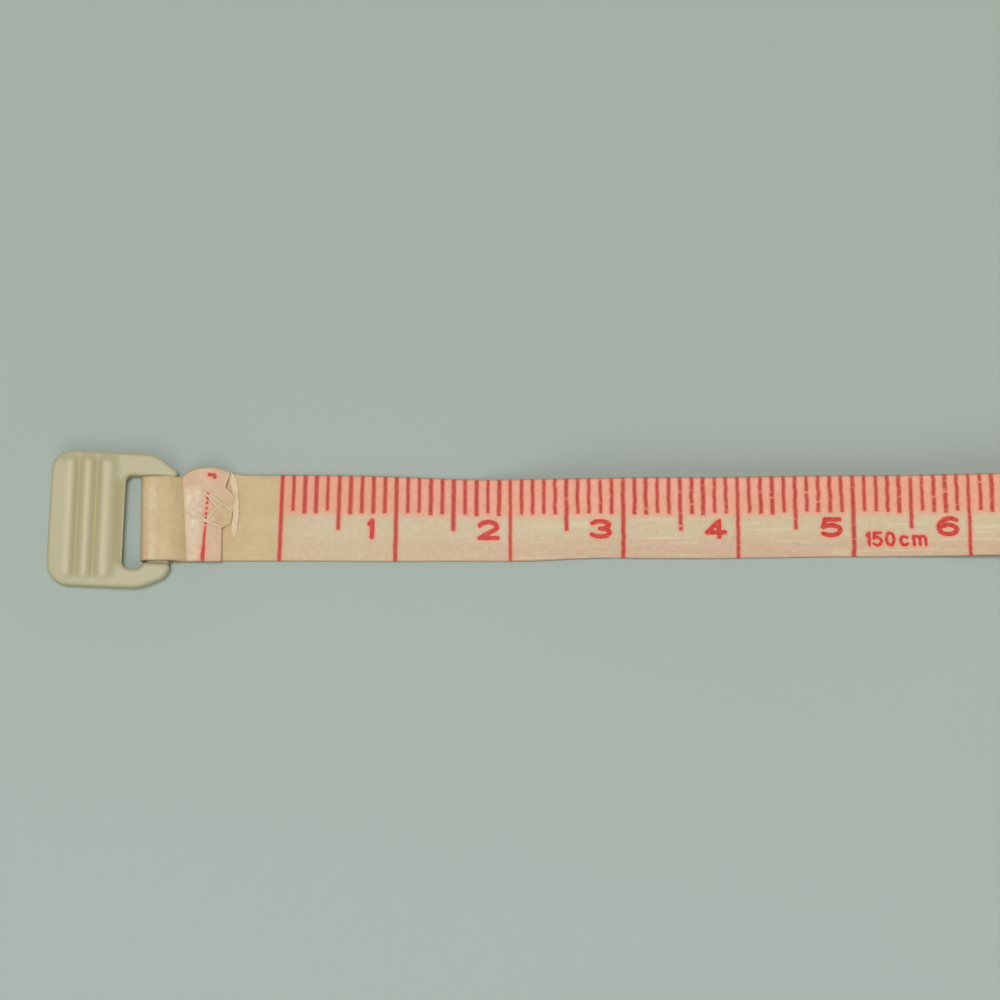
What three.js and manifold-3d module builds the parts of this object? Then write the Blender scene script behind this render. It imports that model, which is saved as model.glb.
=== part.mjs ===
// Cloth tape measure on a spring reel. A round case stands on its foot, the cloth tape leaves its mouth
// along -X, and the tape's end is folded round the bar of a ribbed pull tab and sewn down.
// Millimetres, +Z up. The origin is on the foot, under the reel's axle, in the middle plane of the tape.

import * as THREE from "three";
import { mergeVertices } from "three/addons/utils/BufferGeometryUtils.js";
import Module from "manifold-3d";

const wasm = await Module();
wasm.setup();

// Cloth tape
const tapeWidth = 7.4;
const tapeThickness = 0.3;
const scaleLength = 1500;
const tailLength = 15; // unprinted, behind the end of the scale
const drawnLength = 105; // from the zero line to where the tape leaves the winding
const zeroFromPinch = 8.1; // from the fold line at the tab to the zero line
const liftedLength = 56; // stretch before the mouth that hangs clear of the table
const turnGap = 0.45; // between turns of the winding
const tableGap = 0.05; // under the tape where it lies flat
const layerGap = 0.1; // between two layers that are sewn together
const flapLength = 3.4;
const flapBulge = 0.4; // how far the sewn end stands out past one edge of the tape
const pinchGap = 0.45; // on each side of the fold line

// Pull tab
const tabWidth = 11.6;
const tabThickness = 1.7;
const gripLength = 6.35;
const slotLength = 2.1;
const barLength = 2.2;
const barThickness = 0.8;
const barTopLength = 1.6; // flat top of the bar, before it slopes down to the fold line
const tabSetback = 0.8; // from the fold line to the tab's edge
const barSetback = 1.2; // from the fold line to the bar
const slotClearance = 0.4; // beside the tape
const loopClearance = 0.15; // between the bar and the tape round it
const tabFrontRadius = 1.8;
const tabRearRadius = 3.0;
const tabEdge = 0.3; // rounding of the tab's rim
const slotRadius = 0.6;
const ridgeCount = 3;
const ridgeSpacing = 1.55;
const ridgeRadius = 0.6;
const ridgeProud = 0.35;
const firstRidge = 1.75; // from the tab's free end
const ridgeInset = 0.9; // from the tab's sides to the ridges' ends

// Reel
const hubRadius = 9;
const hubWall = 1.6;
const flangeThickness = 0.7;
const flangeLip = 0.8; // how far the flanges reach past the winding
const sideClearance = 0.3; // between the tape's edges and the flanges
const windingClearance = 0.3; // between the hub and the first turn
const spigotWall = 1.0;
const spigotDepth = 1.4;
const fitClearance = 0.15; // between parts that are pressed together
const anchorWidth = 2.0;
const anchorThickness = 0.6;
const anchorClearance = 0.3;
const mainspringThickness = 0.2;
const mainspringGap = 0.45;
const mainspringClearance = 0.3;

// Axle
const arborRadius = 2.3;
const bearingClearance = 0.3;
const arborScrewRadius = 0.8;
const arborScrewDepth = 3.5;
const arborScrewHead = 2.2;
const springPocketRadius = 1.5;
const springPocketDepth = 4.0;
const washerThickness = 0.4;
const washerRadius = 5.0;
const washerClearance = 0.2;

// Case
const wall = 1.6;
const edgeRadius = 1.6; // rounding of the rims of both faces
const dishRadius = 18; // shallow round recess in the front face
const dishDepth = 0.4;
const reelClearance = 0.5; // between the flanges and the screw bosses
const bossRadius = 1.6;
const bossMerge = 0.4; // how far a boss sinks into the case's rim
const rimDepth = 0.5; // of the rear cover, inside
const seamGap = 0.2;
const toeReach = 2.2; // how far the mouth stands out past the round of the case
const toeHeight = 8.8;
const toeRadius = 2.0;
const heelReach = 16;
const mouthHeight = 5.0; // of the tape's middle, at the mouth
const mouthOpening = 2.0;
const mouthClearance = 0.45; // beside the tape

// Screws
const screwRadius = 0.7;
const screwHeadRadius = 1.5;
const screwHeadThickness = 0.7;
const screwLength = 6;
const screwClearance = 0.2;
const screwCrossWidth = 0.4;
const screwCrossDepth = 0.4;
const screwCrossShare = 0.6; // of the head's radius
const screwAngles = [75, 195, 315];

// Button and brake
const buttonRadius = 6.0;
const buttonProud = 1.0;
const buttonDome = 0.5;
const buttonFlange = 7.0;
const buttonFlangeThickness = 0.7;
const buttonClearance = 0.3;
const buttonPlay = 0.2; // between its flange and the case
const nubRadius = 1.2;
const nubLength = 0.8;
const nubGap = 0.2;
const leverThickness = 1.0;
const leverWidth = 3.0;
const leverDiscRadius = 2.6;
const pivotHeight = 10; // above the axle
const leverReach = 7; // above the pivot
const eyeletRadius = 1.2;
const pinRadius = 0.45;
const pinClearance = 0.3;
const earThickness = 1.2;
const earRadius = 1.3;
const earGap = 0.4;
const padLength = 3.0;
const padThickness = 1.2;
const padClearance = 0.3; // between the pad and the reel
const seatGap = 0.05; // between glued faces
const brakeSpringRadius = 1.0;
const brakeSpringWire = 0.35;
const brakeSpringCurls = 4;
const brakeSpringGap = 0.2; // at both ends

// Fineness of round shapes
const arcStep = THREE.MathUtils.degToRad(7.5);
const latheSegments = 48;
const smallSegments = 16;
const loopSteps = 24; // in each turn of a winding
const curlSteps = 8; // in each curl of the brake spring
const curlSides = 5;
const edgeSegments = 3;
const domeSteps = 4;
const capSegments = 3;
const liftSteps = 16;
const mitreLimit = 0.5; // keeps a sharp bend of a ribbon from growing a long point
const weld = 1e-4;

// Places along the reel's axle: the button's side is -Y, the rear cover's side is +Y.
const flangeInside = tapeWidth / 2 + sideClearance;
const flangeOutside = flangeInside + flangeThickness;
const rearInside = flangeOutside + washerThickness + 2 * washerClearance;
const rearOutside = rearInside + wall;
const seam = rearInside - rimDepth;
const padRear = -flangeOutside - padClearance;
const leverRear = padRear - padThickness - seatGap;
const leverFront = leverRear - leverThickness;
const leverMiddle = (leverRear + leverFront) / 2;
const nubTip = leverFront - nubGap;
const buttonFlangeRear = nubTip - nubLength;
const buttonFlangeFront = buttonFlangeRear - buttonFlangeThickness;
const frontInside = buttonFlangeFront - buttonPlay;
const frontOutside = frontInside - wall;
const arborTip = -flangeOutside;
const arborRear = rearInside - fitClearance;

// The winding takes all the tape that isn't drawn out.
const pitch = tapeThickness + turnGap;
const woundLength = scaleLength + tailLength - drawnLength;
const woundInner = hubRadius + windingClearance + tapeThickness / 2;
const woundOuter = Math.sqrt(woundInner ** 2 + (woundLength * pitch) / Math.PI);
const woundTurns = (woundOuter - woundInner) / pitch;
const flangeRadius = woundOuter + tapeThickness / 2 + flangeLip;
const hubInner = hubRadius - hubWall;

// Sizes of the case follow the reel.
const bossCircle = flangeRadius + reelClearance + bossRadius;
const caseInner = bossCircle + bossRadius - bossMerge;
const caseRadius = caseInner + wall;
const axleHeight = caseRadius;
const toeFront = -caseRadius - toeReach;

// Places along the tape.
const zeroLine = -drawnLength;
const pinch = zeroLine - zeroFromPinch;
const landing = toeFront - liftedLength;
const runHeight = tableGap + tapeThickness / 2;
const upperHeight = runHeight + tapeThickness + layerGap;

// Colours of the finishes.
const ivoryPlastic = new THREE.MeshStandardMaterial({ color: 0xd8cfae, roughness: 0.45, metalness: 0 });
const clothTape = new THREE.MeshStandardMaterial({ color: 0xd6c19a, roughness: 0.8, metalness: 0 });
const redPlastic = new THREE.MeshStandardMaterial({ color: 0xb0483c, roughness: 0.4, metalness: 0 });
const whitePlastic = new THREE.MeshStandardMaterial({ color: 0xe6e2d6, roughness: 0.5, metalness: 0 });
const darkPlastic = new THREE.MeshStandardMaterial({ color: 0x4a4a48, roughness: 0.6, metalness: 0 });
const rubber = new THREE.MeshStandardMaterial({ color: 0x2c2c2c, roughness: 0.9, metalness: 0 });
const steel = new THREE.MeshStandardMaterial({ color: 0xb4b4b0, roughness: 0.3, metalness: 1 });

// A closed geometry as a solid that can be cut and joined.
function solidOf(geometry) {
  const bare = new THREE.BufferGeometry();
  const loose = geometry.index ? geometry.toNonIndexed() : geometry;
  bare.setAttribute("position", loose.getAttribute("position"));
  const merged = mergeVertices(bare, weld);
  const mesh = new wasm.Mesh({
    numProp: 3,
    vertProperties: new Float32Array(merged.attributes.position.array),
    triVerts: new Uint32Array(merged.index.array),
  });
  return new wasm.Manifold(mesh);
}

// A solid back as a geometry.
function geometryOf(solid) {
  const mesh = solid.getMesh();
  const geometry = new THREE.BufferGeometry();
  geometry.setAttribute("position", new THREE.BufferAttribute(mesh.vertProperties, 3));
  geometry.setIndex(new THREE.BufferAttribute(mesh.triVerts, 1));
  return geometry.toNonIndexed();
}

function joined(...geometries) {
  const solids = geometries.map(solidOf);
  return geometryOf(solids.reduce((whole, solid) => whole.add(solid)));
}

function cut(geometry, ...tools) {
  const solids = tools.map(solidOf);
  return geometryOf(solids.reduce((whole, solid) => whole.subtract(solid), solidOf(geometry)));
}

// Points of an arc, counter-clockwise from one angle to another.
function arcPoints(x, y, radius, from, to) {
  const sweep = THREE.MathUtils.euclideanModulo(to - from, 2 * Math.PI);
  const steps = Math.max(1, Math.ceil(sweep / arcStep));
  return Array.from({ length: steps + 1 }, (_, i) => {
    const angle = from + (sweep * i) / steps;
    return new THREE.Vector2(x + radius * Math.cos(angle), y + radius * Math.sin(angle));
  });
}

// Outline round a list of circles, taken counter-clockwise, with straight tangents between them.
function bandRound(circles) {
  const normals = circles.map((circle, i) => {
    const next = circles[(i + 1) % circles.length];
    const across = next.x - circle.x;
    const up = next.y - circle.y;
    const lean = Math.acos((circle.radius - next.radius) / Math.hypot(across, up));
    return Math.atan2(up, across) - lean;
  });
  const points = circles.flatMap((circle, i) => {
    const from = normals[(i + circles.length - 1) % circles.length];
    return arcPoints(circle.x, circle.y, circle.radius, from, normals[i]);
  });
  return new THREE.Shape(points);
}

// Direction square to a line of points at one of them, longer in a bend to keep a ribbon's thickness.
function squareTo(points, i) {
  const before = points[Math.max(i - 1, 0)];
  const after = points[Math.min(i + 1, points.length - 1)];
  const legs = [points[i].clone().sub(before), after.clone().sub(points[i])];
  const directions = legs.filter((leg) => leg.lengthSq() > 0).map((leg) => leg.normalize());
  const along = directions.reduce((sum, leg) => sum.add(leg), new THREE.Vector2()).normalize();
  const mitre = 1 / Math.max(along.dot(directions[0]), mitreLimit);
  return new THREE.Vector2(-along.y, along.x).multiplyScalar(mitre);
}

// Both edges of a ribbon that is seen from its side, as one outline.
function ribbonOutline(points, thickness) {
  const edges = points.map((_, i) => squareTo(points, i).multiplyScalar(thickness / 2));
  const left = points.map((point, i) => point.clone().add(edges[i]));
  const right = points.map((point, i) => point.clone().sub(edges[i]));
  return new THREE.Shape([...left, ...right.reverse()]);
}

// An outline in the XZ plane, extruded along Y, with rounded rims where an edge is given.
function slab(shape, low, high, edge = 0) {
  const geometry = new THREE.ExtrudeGeometry(shape, {
    depth: high - low - 2 * edge,
    bevelEnabled: edge > 0,
    bevelThickness: edge,
    bevelSize: edge,
    bevelOffset: -edge,
    bevelSegments: edgeSegments,
  });
  return geometry.rotateX(Math.PI / 2).translate(0, high - edge, 0);
}

// A profile of [radius, y] pairs turned round the Y axis.
function turned(profile, segments = latheSegments) {
  const points = profile.map(([radius, y]) => new THREE.Vector2(radius, y));
  return new THREE.LatheGeometry(points, segments);
}

// A rod along Y.
function rod(radius, low, high, segments = smallSegments) {
  return new THREE.CylinderGeometry(radius, radius, high - low, segments).translate(0, (low + high) / 2, 0);
}

// A rod along X, centred.
function crossRod(radius, length) {
  return new THREE.CylinderGeometry(radius, radius, length, smallSegments).rotateZ(Math.PI / 2);
}

// A block between two corners.
function block(x0, x1, y0, y1, z0, z1) {
  const geometry = new THREE.BoxGeometry(x1 - x0, y1 - y0, z1 - z0);
  return geometry.translate((x0 + x1) / 2, (y0 + y1) / 2, (z0 + z1) / 2);
}

// Centre line of a flat spiral that starts at the bottom, outside, and runs inwards.
function spiralPoints(outer, spacing, turns) {
  const steps = Math.round(turns * loopSteps);
  return Array.from({ length: steps + 1 }, (_, i) => {
    const turn = (turns * i) / steps;
    const angle = -Math.PI / 2 + 2 * Math.PI * turn;
    const radius = outer - spacing * turn;
    return new THREE.Vector2(radius * Math.cos(angle), radius * Math.sin(angle));
  });
}

// Least clear gap between the turns of a winding, measured on points that are half a turn apart or more.
function leastGap(points, thickness, stepsInTurn) {
  const gaps = points.flatMap((point, i) => {
    const others = points.slice(i + stepsInTurn / 2);
    return others.map((other) => point.distanceTo(other));
  });
  return Math.min(...gaps) - thickness;
}

function printGap(name, gap) {
  console.log(`${name}: least gap to itself ${gap.toFixed(3)} mm`);
}

// Side view of the drawn-out tape, from the sewn end over the table and through the mouth to the winding.
function runPoints() {
  const lift = Array.from({ length: liftSteps + 1 }, (_, i) => {
    const share = i / liftSteps;
    const rise = (mouthHeight - runHeight) * THREE.MathUtils.smoothstep(share, 0, 1);
    return new THREE.Vector2(landing + liftedLength * share, runHeight + rise);
  });
  const start = new THREE.Vector2(pinch + pinchGap, runHeight);
  const end = new THREE.Vector2(-windingClearance, axleHeight - woundOuter);
  return [start, ...lift, end];
}

// Case

// The whole case before it is parted: a round body on a foot, with a toe that holds the mouth.
function caseBlank() {
  const outline = bandRound([
    { x: heelReach - toeRadius, y: toeRadius, radius: toeRadius },
    { x: 0, y: axleHeight, radius: caseRadius },
    { x: toeFront + toeRadius, y: toeHeight - toeRadius, radius: toeRadius },
    { x: toeFront + toeRadius, y: toeRadius, radius: toeRadius },
  ]);
  return slab(outline, frontOutside, rearOutside, edgeRadius);
}

// A block larger than the case, on one side of the seam.
function pastSeam(low, high) {
  const reach = 3 * caseRadius;
  return block(-reach, reach, low, high, -reach, reach);
}

function onAxle(geometry) {
  return geometry.translate(0, 0, axleHeight);
}

function atBoss(geometry, angle) {
  const turn = THREE.MathUtils.degToRad(angle);
  return geometry.translate(bossCircle * Math.cos(turn), 0, axleHeight + bossCircle * Math.sin(turn));
}

// Bores along Y at the three bosses.
function bossRods(radius, low, high) {
  return screwAngles.map((angle) => atBoss(rod(radius, low, high), angle));
}

function mouthChannel() {
  const [end, last] = runPoints().reverse();
  const out = last.clone().sub(end).normalize();
  const outside = last.clone().addScaledVector(out, toeReach + mouthOpening);
  const halfWidth = tapeWidth / 2 + mouthClearance;
  return slab(ribbonOutline([outside, last, end], mouthOpening), -halfWidth, halfWidth);
}

function frontShell() {
  const seamFront = seam - seamGap / 2;
  const hollow = onAxle(rod(caseInner, frontInside, rearOutside, latheSegments));
  const cup = cut(caseBlank(), pastSeam(seamFront, 2 * rearOutside), hollow);
  const bosses = bossRods(bossRadius, frontInside - seatGap, seamFront);
  const pilots = bossRods(screwRadius + screwClearance, seam - screwLength, seam);
  const dish = onAxle(rod(dishRadius, 2 * frontOutside, frontOutside + dishDepth, latheSegments));
  const buttonHole = onAxle(rod(buttonRadius + buttonClearance, 2 * frontOutside, 0, latheSegments));
  const filled = joined(cup, ...bosses, ...leverEars());
  return cut(filled, ...pilots, dish, buttonHole, mouthChannel(), pinBore());
}

// Two ears on the inside of the front wall that hold the brake lever's pin.
function leverEars() {
  const inner = leverWidth / 2 + earGap;
  const low = axleHeight + pivotHeight - earRadius;
  const high = axleHeight + pivotHeight + earRadius;
  return [inner, -inner - earThickness].map((x) => {
    return block(x, x + earThickness, frontInside - seatGap, leverMiddle + earRadius, low, high);
  });
}

function pinLength() {
  return leverWidth + 2 * (earGap + earThickness);
}

function pinBore() {
  const bore = crossRod(pinRadius + fitClearance, 2 * pinLength());
  return bore.translate(0, leverMiddle, axleHeight + pivotHeight);
}

function rearCover() {
  const seamRear = seam + seamGap / 2;
  const hollow = onAxle(rod(caseInner, frontInside, rearInside, latheSegments));
  const cup = cut(caseBlank(), pastSeam(2 * frontOutside, seamRear), hollow);
  const floor = rearOutside - screwHeadThickness - screwClearance;
  const bosses = bossRods(bossRadius, seamRear, rearInside + seatGap);
  const holes = bossRods(screwRadius + screwClearance, 0, 2 * rearOutside);
  const sinks = bossRods(screwHeadRadius + screwClearance, floor, 2 * rearOutside);
  const axleHole = onAxle(rod(arborScrewRadius + screwClearance, 0, 2 * rearOutside));
  const axleSink = onAxle(rod(arborScrewHead + screwClearance, floor, 2 * rearOutside));
  return cut(joined(cup, ...bosses), ...holes, ...sinks, axleHole, axleSink);
}

// A screw along Y whose head is flush with the rear cover.
function screw(shankRadius, headRadius, tip) {
  const under = rearOutside - screwHeadThickness;
  const body = turned([[0, tip], [shankRadius, tip], [shankRadius, under], [headRadius, under],
    [headRadius, rearOutside], [0, rearOutside]], smallSegments);
  const half = headRadius * screwCrossShare;
  const narrow = screwCrossWidth / 2;
  const floor = rearOutside - screwCrossDepth;
  const across = block(-half, half, floor, 2 * rearOutside, -narrow, narrow);
  const upright = block(-narrow, narrow, floor, 2 * rearOutside, -half, half);
  return cut(body, across, upright);
}

// Axle, built round the origin

function arbor() {
  const post = rod(arborRadius, arborTip, arborRear, 2 * smallSegments);
  const pocket = rod(springPocketRadius, 2 * arborTip, arborTip + springPocketDepth);
  const floor = arborRear - arborScrewDepth - screwClearance;
  const bore = rod(arborScrewRadius + screwClearance, floor, 2 * arborRear);
  return cut(post, pocket, bore);
}

function thrustWasher() {
  const low = flangeOutside + washerClearance;
  const high = low + washerThickness;
  const bore = arborRadius + bearingClearance;
  return turned([[bore, low], [washerRadius, low], [washerRadius, high], [bore, high], [bore, low]]);
}

// Reel, built round the origin

function reelDrum() {
  const bore = arborRadius + bearingClearance;
  const front = -flangeInside + fitClearance;
  const drum = turned([[bore, flangeInside], [hubInner, flangeInside], [hubInner, front],
    [hubRadius, front], [hubRadius, flangeInside], [flangeRadius, flangeInside],
    [flangeRadius, flangeOutside], [bore, flangeOutside], [bore, flangeInside]]);
  const half = anchorWidth / 2 + anchorClearance;
  const floor = hubRadius - anchorThickness - anchorClearance;
  const groove = block(floor, 2 * hubRadius, -flangeInside, flangeInside, -half, half);
  return cut(drum, groove.rotateY(-anchorAngle()));
}

function reelCover() {
  const bore = arborRadius + bearingClearance;
  const outer = hubInner - fitClearance;
  const inner = outer - spigotWall;
  const back = -flangeInside + spigotDepth;
  return turned([[bore, -flangeOutside], [flangeRadius, -flangeOutside], [flangeRadius, -flangeInside],
    [outer, -flangeInside], [outer, back], [inner, back], [inner, -flangeInside], [bore, -flangeInside],
    [bore, -flangeOutside]]);
}

// Direction of the winding's inner end, counted from +X towards +Z.
function anchorAngle() {
  return -Math.PI / 2 + 2 * Math.PI * woundTurns;
}

function tapeAnchor() {
  const half = anchorWidth / 2;
  const wedge = block(hubRadius - anchorThickness, hubRadius, -tapeWidth / 2, tapeWidth / 2, -half, half);
  return wedge.rotateY(-anchorAngle());
}

function woundTape() {
  const points = spiralPoints(woundOuter, pitch, woundTurns);
  printGap("wound_tape", leastGap(points, tapeThickness, loopSteps));
  return slab(ribbonOutline(points, tapeThickness), -tapeWidth / 2, tapeWidth / 2);
}

function mainspring() {
  const outer = hubInner - mainspringClearance - mainspringThickness / 2;
  const inner = arborRadius + mainspringClearance + mainspringThickness / 2;
  const spacing = mainspringThickness + mainspringGap;
  const points = spiralPoints(outer, spacing, (outer - inner) / spacing);
  printGap("mainspring", leastGap(points, mainspringThickness, loopSteps));
  const front = -flangeInside + spigotDepth + mainspringClearance;
  return slab(ribbonOutline(points, mainspringThickness), front, flangeInside - mainspringClearance);
}

// Button and brake

// Built round the axle.
function pushButton() {
  const top = frontOutside - buttonProud;
  const sphere = (buttonRadius ** 2 + buttonDome ** 2) / (2 * buttonDome);
  const spread = Math.asin(buttonRadius / sphere);
  const dome = Array.from({ length: domeSteps + 1 }, (_, i) => {
    const angle = (spread * i) / domeSteps;
    return [sphere * Math.sin(angle), top + sphere * (1 - Math.cos(angle))];
  });
  return turned([...dome, [buttonRadius, buttonFlangeFront], [buttonFlange, buttonFlangeFront],
    [buttonFlange, buttonFlangeRear], [nubRadius, buttonFlangeRear], [nubRadius, nubTip], [0, nubTip]]);
}

// Built round the pivot.
function brakeLever() {
  const half = leverWidth / 2;
  const thick = leverThickness / 2;
  const arm = block(-half, half, -thick, thick, -pivotHeight, leverReach);
  const disc = rod(leverDiscRadius, -thick, thick, 2 * smallSegments).translate(0, 0, -pivotHeight);
  const eyelet = crossRod(eyeletRadius, leverWidth);
  const bore = crossRod(pinRadius + pinClearance, 2 * leverWidth);
  return cut(joined(arm, disc, eyelet), bore);
}

// Built round the pivot.
function brakePad() {
  const half = leverWidth / 2;
  const back = padRear - leverMiddle;
  return block(-half, half, back - padThickness, back, leverReach - padLength, leverReach);
}

// Round wire wound into a helix along Y, built round the axle.
class Helix extends THREE.Curve {
  constructor(radius, low, high, curls) {
    super();
    Object.assign(this, { radius, low, high, curls });
  }

  getPoint(share, target = new THREE.Vector3()) {
    const angle = 2 * Math.PI * this.curls * share;
    const y = this.low + (this.high - this.low) * share;
    return target.set(this.radius * Math.cos(angle), y, this.radius * Math.sin(angle));
  }
}

function brakeSpring() {
  const margin = brakeSpringGap + brakeSpringWire / 2;
  const low = leverRear + margin;
  const high = arborTip + springPocketDepth - margin;
  const path = new Helix(brakeSpringRadius, low, high, brakeSpringCurls);
  const steps = brakeSpringCurls * curlSteps;
  const curls = Array.from({ length: steps + 1 }, (_, i) => path.getPoint(i / steps));
  printGap("brake_spring", leastGap(curls, brakeSpringWire, curlSteps));
  const section = new THREE.Shape(Array.from({ length: curlSides }, (_, i) => {
    const angle = (2 * Math.PI * i) / curlSides;
    return new THREE.Vector2(Math.cos(angle), Math.sin(angle)).multiplyScalar(brakeSpringWire / 2);
  }));
  return new THREE.ExtrudeGeometry(section, { steps, extrudePath: path, bevelEnabled: false });
}

// Tape

function tapeRun() {
  return slab(ribbonOutline(runPoints(), tapeThickness), -tapeWidth / 2, tapeWidth / 2);
}

// The cut end, sewn down on the run. Its edge on the +Y side bulges past the tape.
function tapeFlap() {
  const half = tapeWidth / 2;
  const shape = new THREE.Shape();
  shape.moveTo(pinchGap, -half);
  shape.lineTo(pinchGap + flapLength, -half);
  shape.lineTo(pinchGap + flapLength, half);
  shape.quadraticCurveTo(pinchGap + flapLength / 2, half + 2 * flapBulge, pinchGap, half);
  shape.closePath();
  const plate = new THREE.ExtrudeGeometry(shape, { depth: tapeThickness, bevelEnabled: false });
  return plate.translate(pinch, 0, upperHeight - tapeThickness / 2);
}

// Tab and loop, built round the fold line, with the table at zero

const tabRight = -tabSetback;
const barRight = -barSetback;
const barLeft = barRight - barLength;
const barBottom = tableGap + tapeThickness + loopClearance;
const barTop = barBottom + barThickness;
const loopHeight = barTop + loopClearance + tapeThickness / 2;
const shoulder = barLeft + barTopLength;
const slope = (loopHeight - upperHeight) / (-pinchGap - shoulder);

// The fold round the bar: along its underside, round its edge, over it and down to the sewn seam.
function tapeLoop() {
  const bend = (loopHeight - runHeight) / 2;
  const bendX = barLeft - loopClearance - tapeThickness / 2 + bend;
  const fold = arcPoints(bendX, runHeight + bend, bend, Math.PI / 2, 1.5 * Math.PI).reverse();
  const start = new THREE.Vector2(-pinchGap, runHeight);
  const over = new THREE.Vector2(shoulder, loopHeight);
  const end = new THREE.Vector2(-pinchGap, upperHeight);
  return slab(ribbonOutline([start, ...fold, over, end], tapeThickness), -tapeWidth / 2, tapeWidth / 2);
}

// Side view of the bar. Its sloping face keeps its clearance to the tape that runs down to the seam.
function barOutline() {
  const reach = loopClearance + tapeThickness / 2;
  const lean = Math.sqrt(1 + slope ** 2);
  const slopeStart = shoulder + (reach * (1 - lean)) / slope;
  const slopeEnd = loopHeight - slope * (barRight - shoulder) - reach * lean;
  const nose = Math.min(barThickness, barTopLength) / 2;
  const round = arcPoints(barLeft + nose, barBottom + nose, nose, Math.PI / 2, 1.5 * Math.PI);
  const corners = [[barRight, barBottom], [barRight, slopeEnd], [slopeStart, barTop]];
  return new THREE.Shape([...round, ...corners.map(([x, z]) => new THREE.Vector2(x, z))]);
}

function pullTab() {
  const left = barLeft - slotLength - gripLength;
  const half = tabWidth / 2;
  const slotHalf = tapeWidth / 2 + slotClearance;
  const plan = bandRound([
    { x: left + tabFrontRadius, y: -half + tabFrontRadius, radius: tabFrontRadius },
    { x: tabRight - tabRearRadius, y: -half + tabRearRadius, radius: tabRearRadius },
    { x: tabRight - tabRearRadius, y: half - tabRearRadius, radius: tabRearRadius },
    { x: left + tabFrontRadius, y: half - tabFrontRadius, radius: tabFrontRadius },
  ]);
  const plate = new THREE.ExtrudeGeometry(plan, {
    depth: tabThickness - 2 * tabEdge,
    bevelThickness: tabEdge,
    bevelSize: tabEdge,
    bevelOffset: -tabEdge,
    bevelSegments: edgeSegments,
  }).translate(0, 0, tabEdge);
  const slotLeft = barLeft - slotLength;
  const window = new THREE.ExtrudeGeometry(bandRound([
    { x: slotLeft + slotRadius, y: -slotHalf + slotRadius, radius: slotRadius },
    { x: tabWidth, y: -slotHalf + slotRadius, radius: slotRadius },
    { x: tabWidth, y: slotHalf - slotRadius, radius: slotRadius },
    { x: slotLeft + slotRadius, y: slotHalf - slotRadius, radius: slotRadius },
  ]), { depth: 3 * tabThickness, bevelEnabled: false }).translate(0, 0, -tabThickness);
  const armOverlap = (half - slotHalf) / 2;
  const bar = slab(barOutline(), -slotHalf - armOverlap, slotHalf + armOverlap);
  const ridgeLength = tabWidth - 2 * (ridgeInset + ridgeRadius);
  const ridgeHeight = tabThickness + ridgeProud - ridgeRadius;
  const ridges = Array.from({ length: ridgeCount }, (_, i) => {
    const ridge = new THREE.CapsuleGeometry(ridgeRadius, ridgeLength, capSegments, smallSegments);
    return ridge.translate(left + firstRidge + i * ridgeSpacing, 0, ridgeHeight);
  });
  return joined(cut(plate, window), bar, ...ridges);
}

// Assembly

function piece(name, geometry, material) {
  const mesh = new THREE.Mesh(geometry, material);
  mesh.name = name;
  return mesh;
}

function assembly(x, y, z, ...pieces) {
  const group = new THREE.Group();
  group.position.set(x, y, z);
  group.add(...pieces);
  return group;
}

const caseScrews = screwAngles.map((angle, i) => {
  const body = screw(screwRadius, screwHeadRadius, rearOutside - screwLength);
  return piece(`case_screw_${i + 1}`, atBoss(body, angle), steel);
});

const casing = assembly(0, 0, 0,
  piece("front_shell", frontShell(), ivoryPlastic),
  piece("rear_cover", rearCover(), ivoryPlastic),
  ...caseScrews);

const axle = assembly(0, 0, axleHeight,
  piece("arbor", arbor(), steel),
  piece("arbor_screw", screw(arborScrewRadius, arborScrewHead, arborRear - arborScrewDepth), steel),
  piece("thrust_washer", thrustWasher(), whitePlastic));

const reel = assembly(0, 0, axleHeight,
  piece("reel_drum", reelDrum(), whitePlastic),
  piece("reel_cover", reelCover(), whitePlastic),
  piece("tape_anchor", tapeAnchor(), whitePlastic),
  piece("mainspring", mainspring(), steel),
  piece("wound_tape", woundTape(), clothTape));

const release = assembly(0, 0, axleHeight,
  piece("button", pushButton(), redPlastic),
  piece("brake_spring", brakeSpring(), steel));

const brake = assembly(0, leverMiddle, axleHeight + pivotHeight,
  piece("brake_lever", brakeLever(), darkPlastic),
  piece("brake_pad", brakePad(), rubber),
  piece("lever_pin", crossRod(pinRadius, pinLength()), steel));

const tapeEnd = assembly(pinch, 0, 0,
  piece("tape_loop", tapeLoop(), clothTape),
  piece("pull_tab", pullTab(), ivoryPlastic));

const tape = assembly(0, 0, 0,
  piece("tape_run", tapeRun(), clothTape),
  piece("tape_flap", tapeFlap(), clothTape));

const tapeMeasure = new THREE.Group();
tapeMeasure.add(casing, axle, reel, release, brake, tape, tapeEnd);

export default tapeMeasure;
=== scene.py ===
"""Looks of a cloth tape measure on a spring reel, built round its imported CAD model.

Metres, +Z up. The case stands on its foot over the origin, the tape leaves its mouth along -X, and the sewn
end with the pull tab lies on the table.
"""

import logging
import math
from dataclasses import dataclass, field
from enum import Enum
from typing import Sequence

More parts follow.
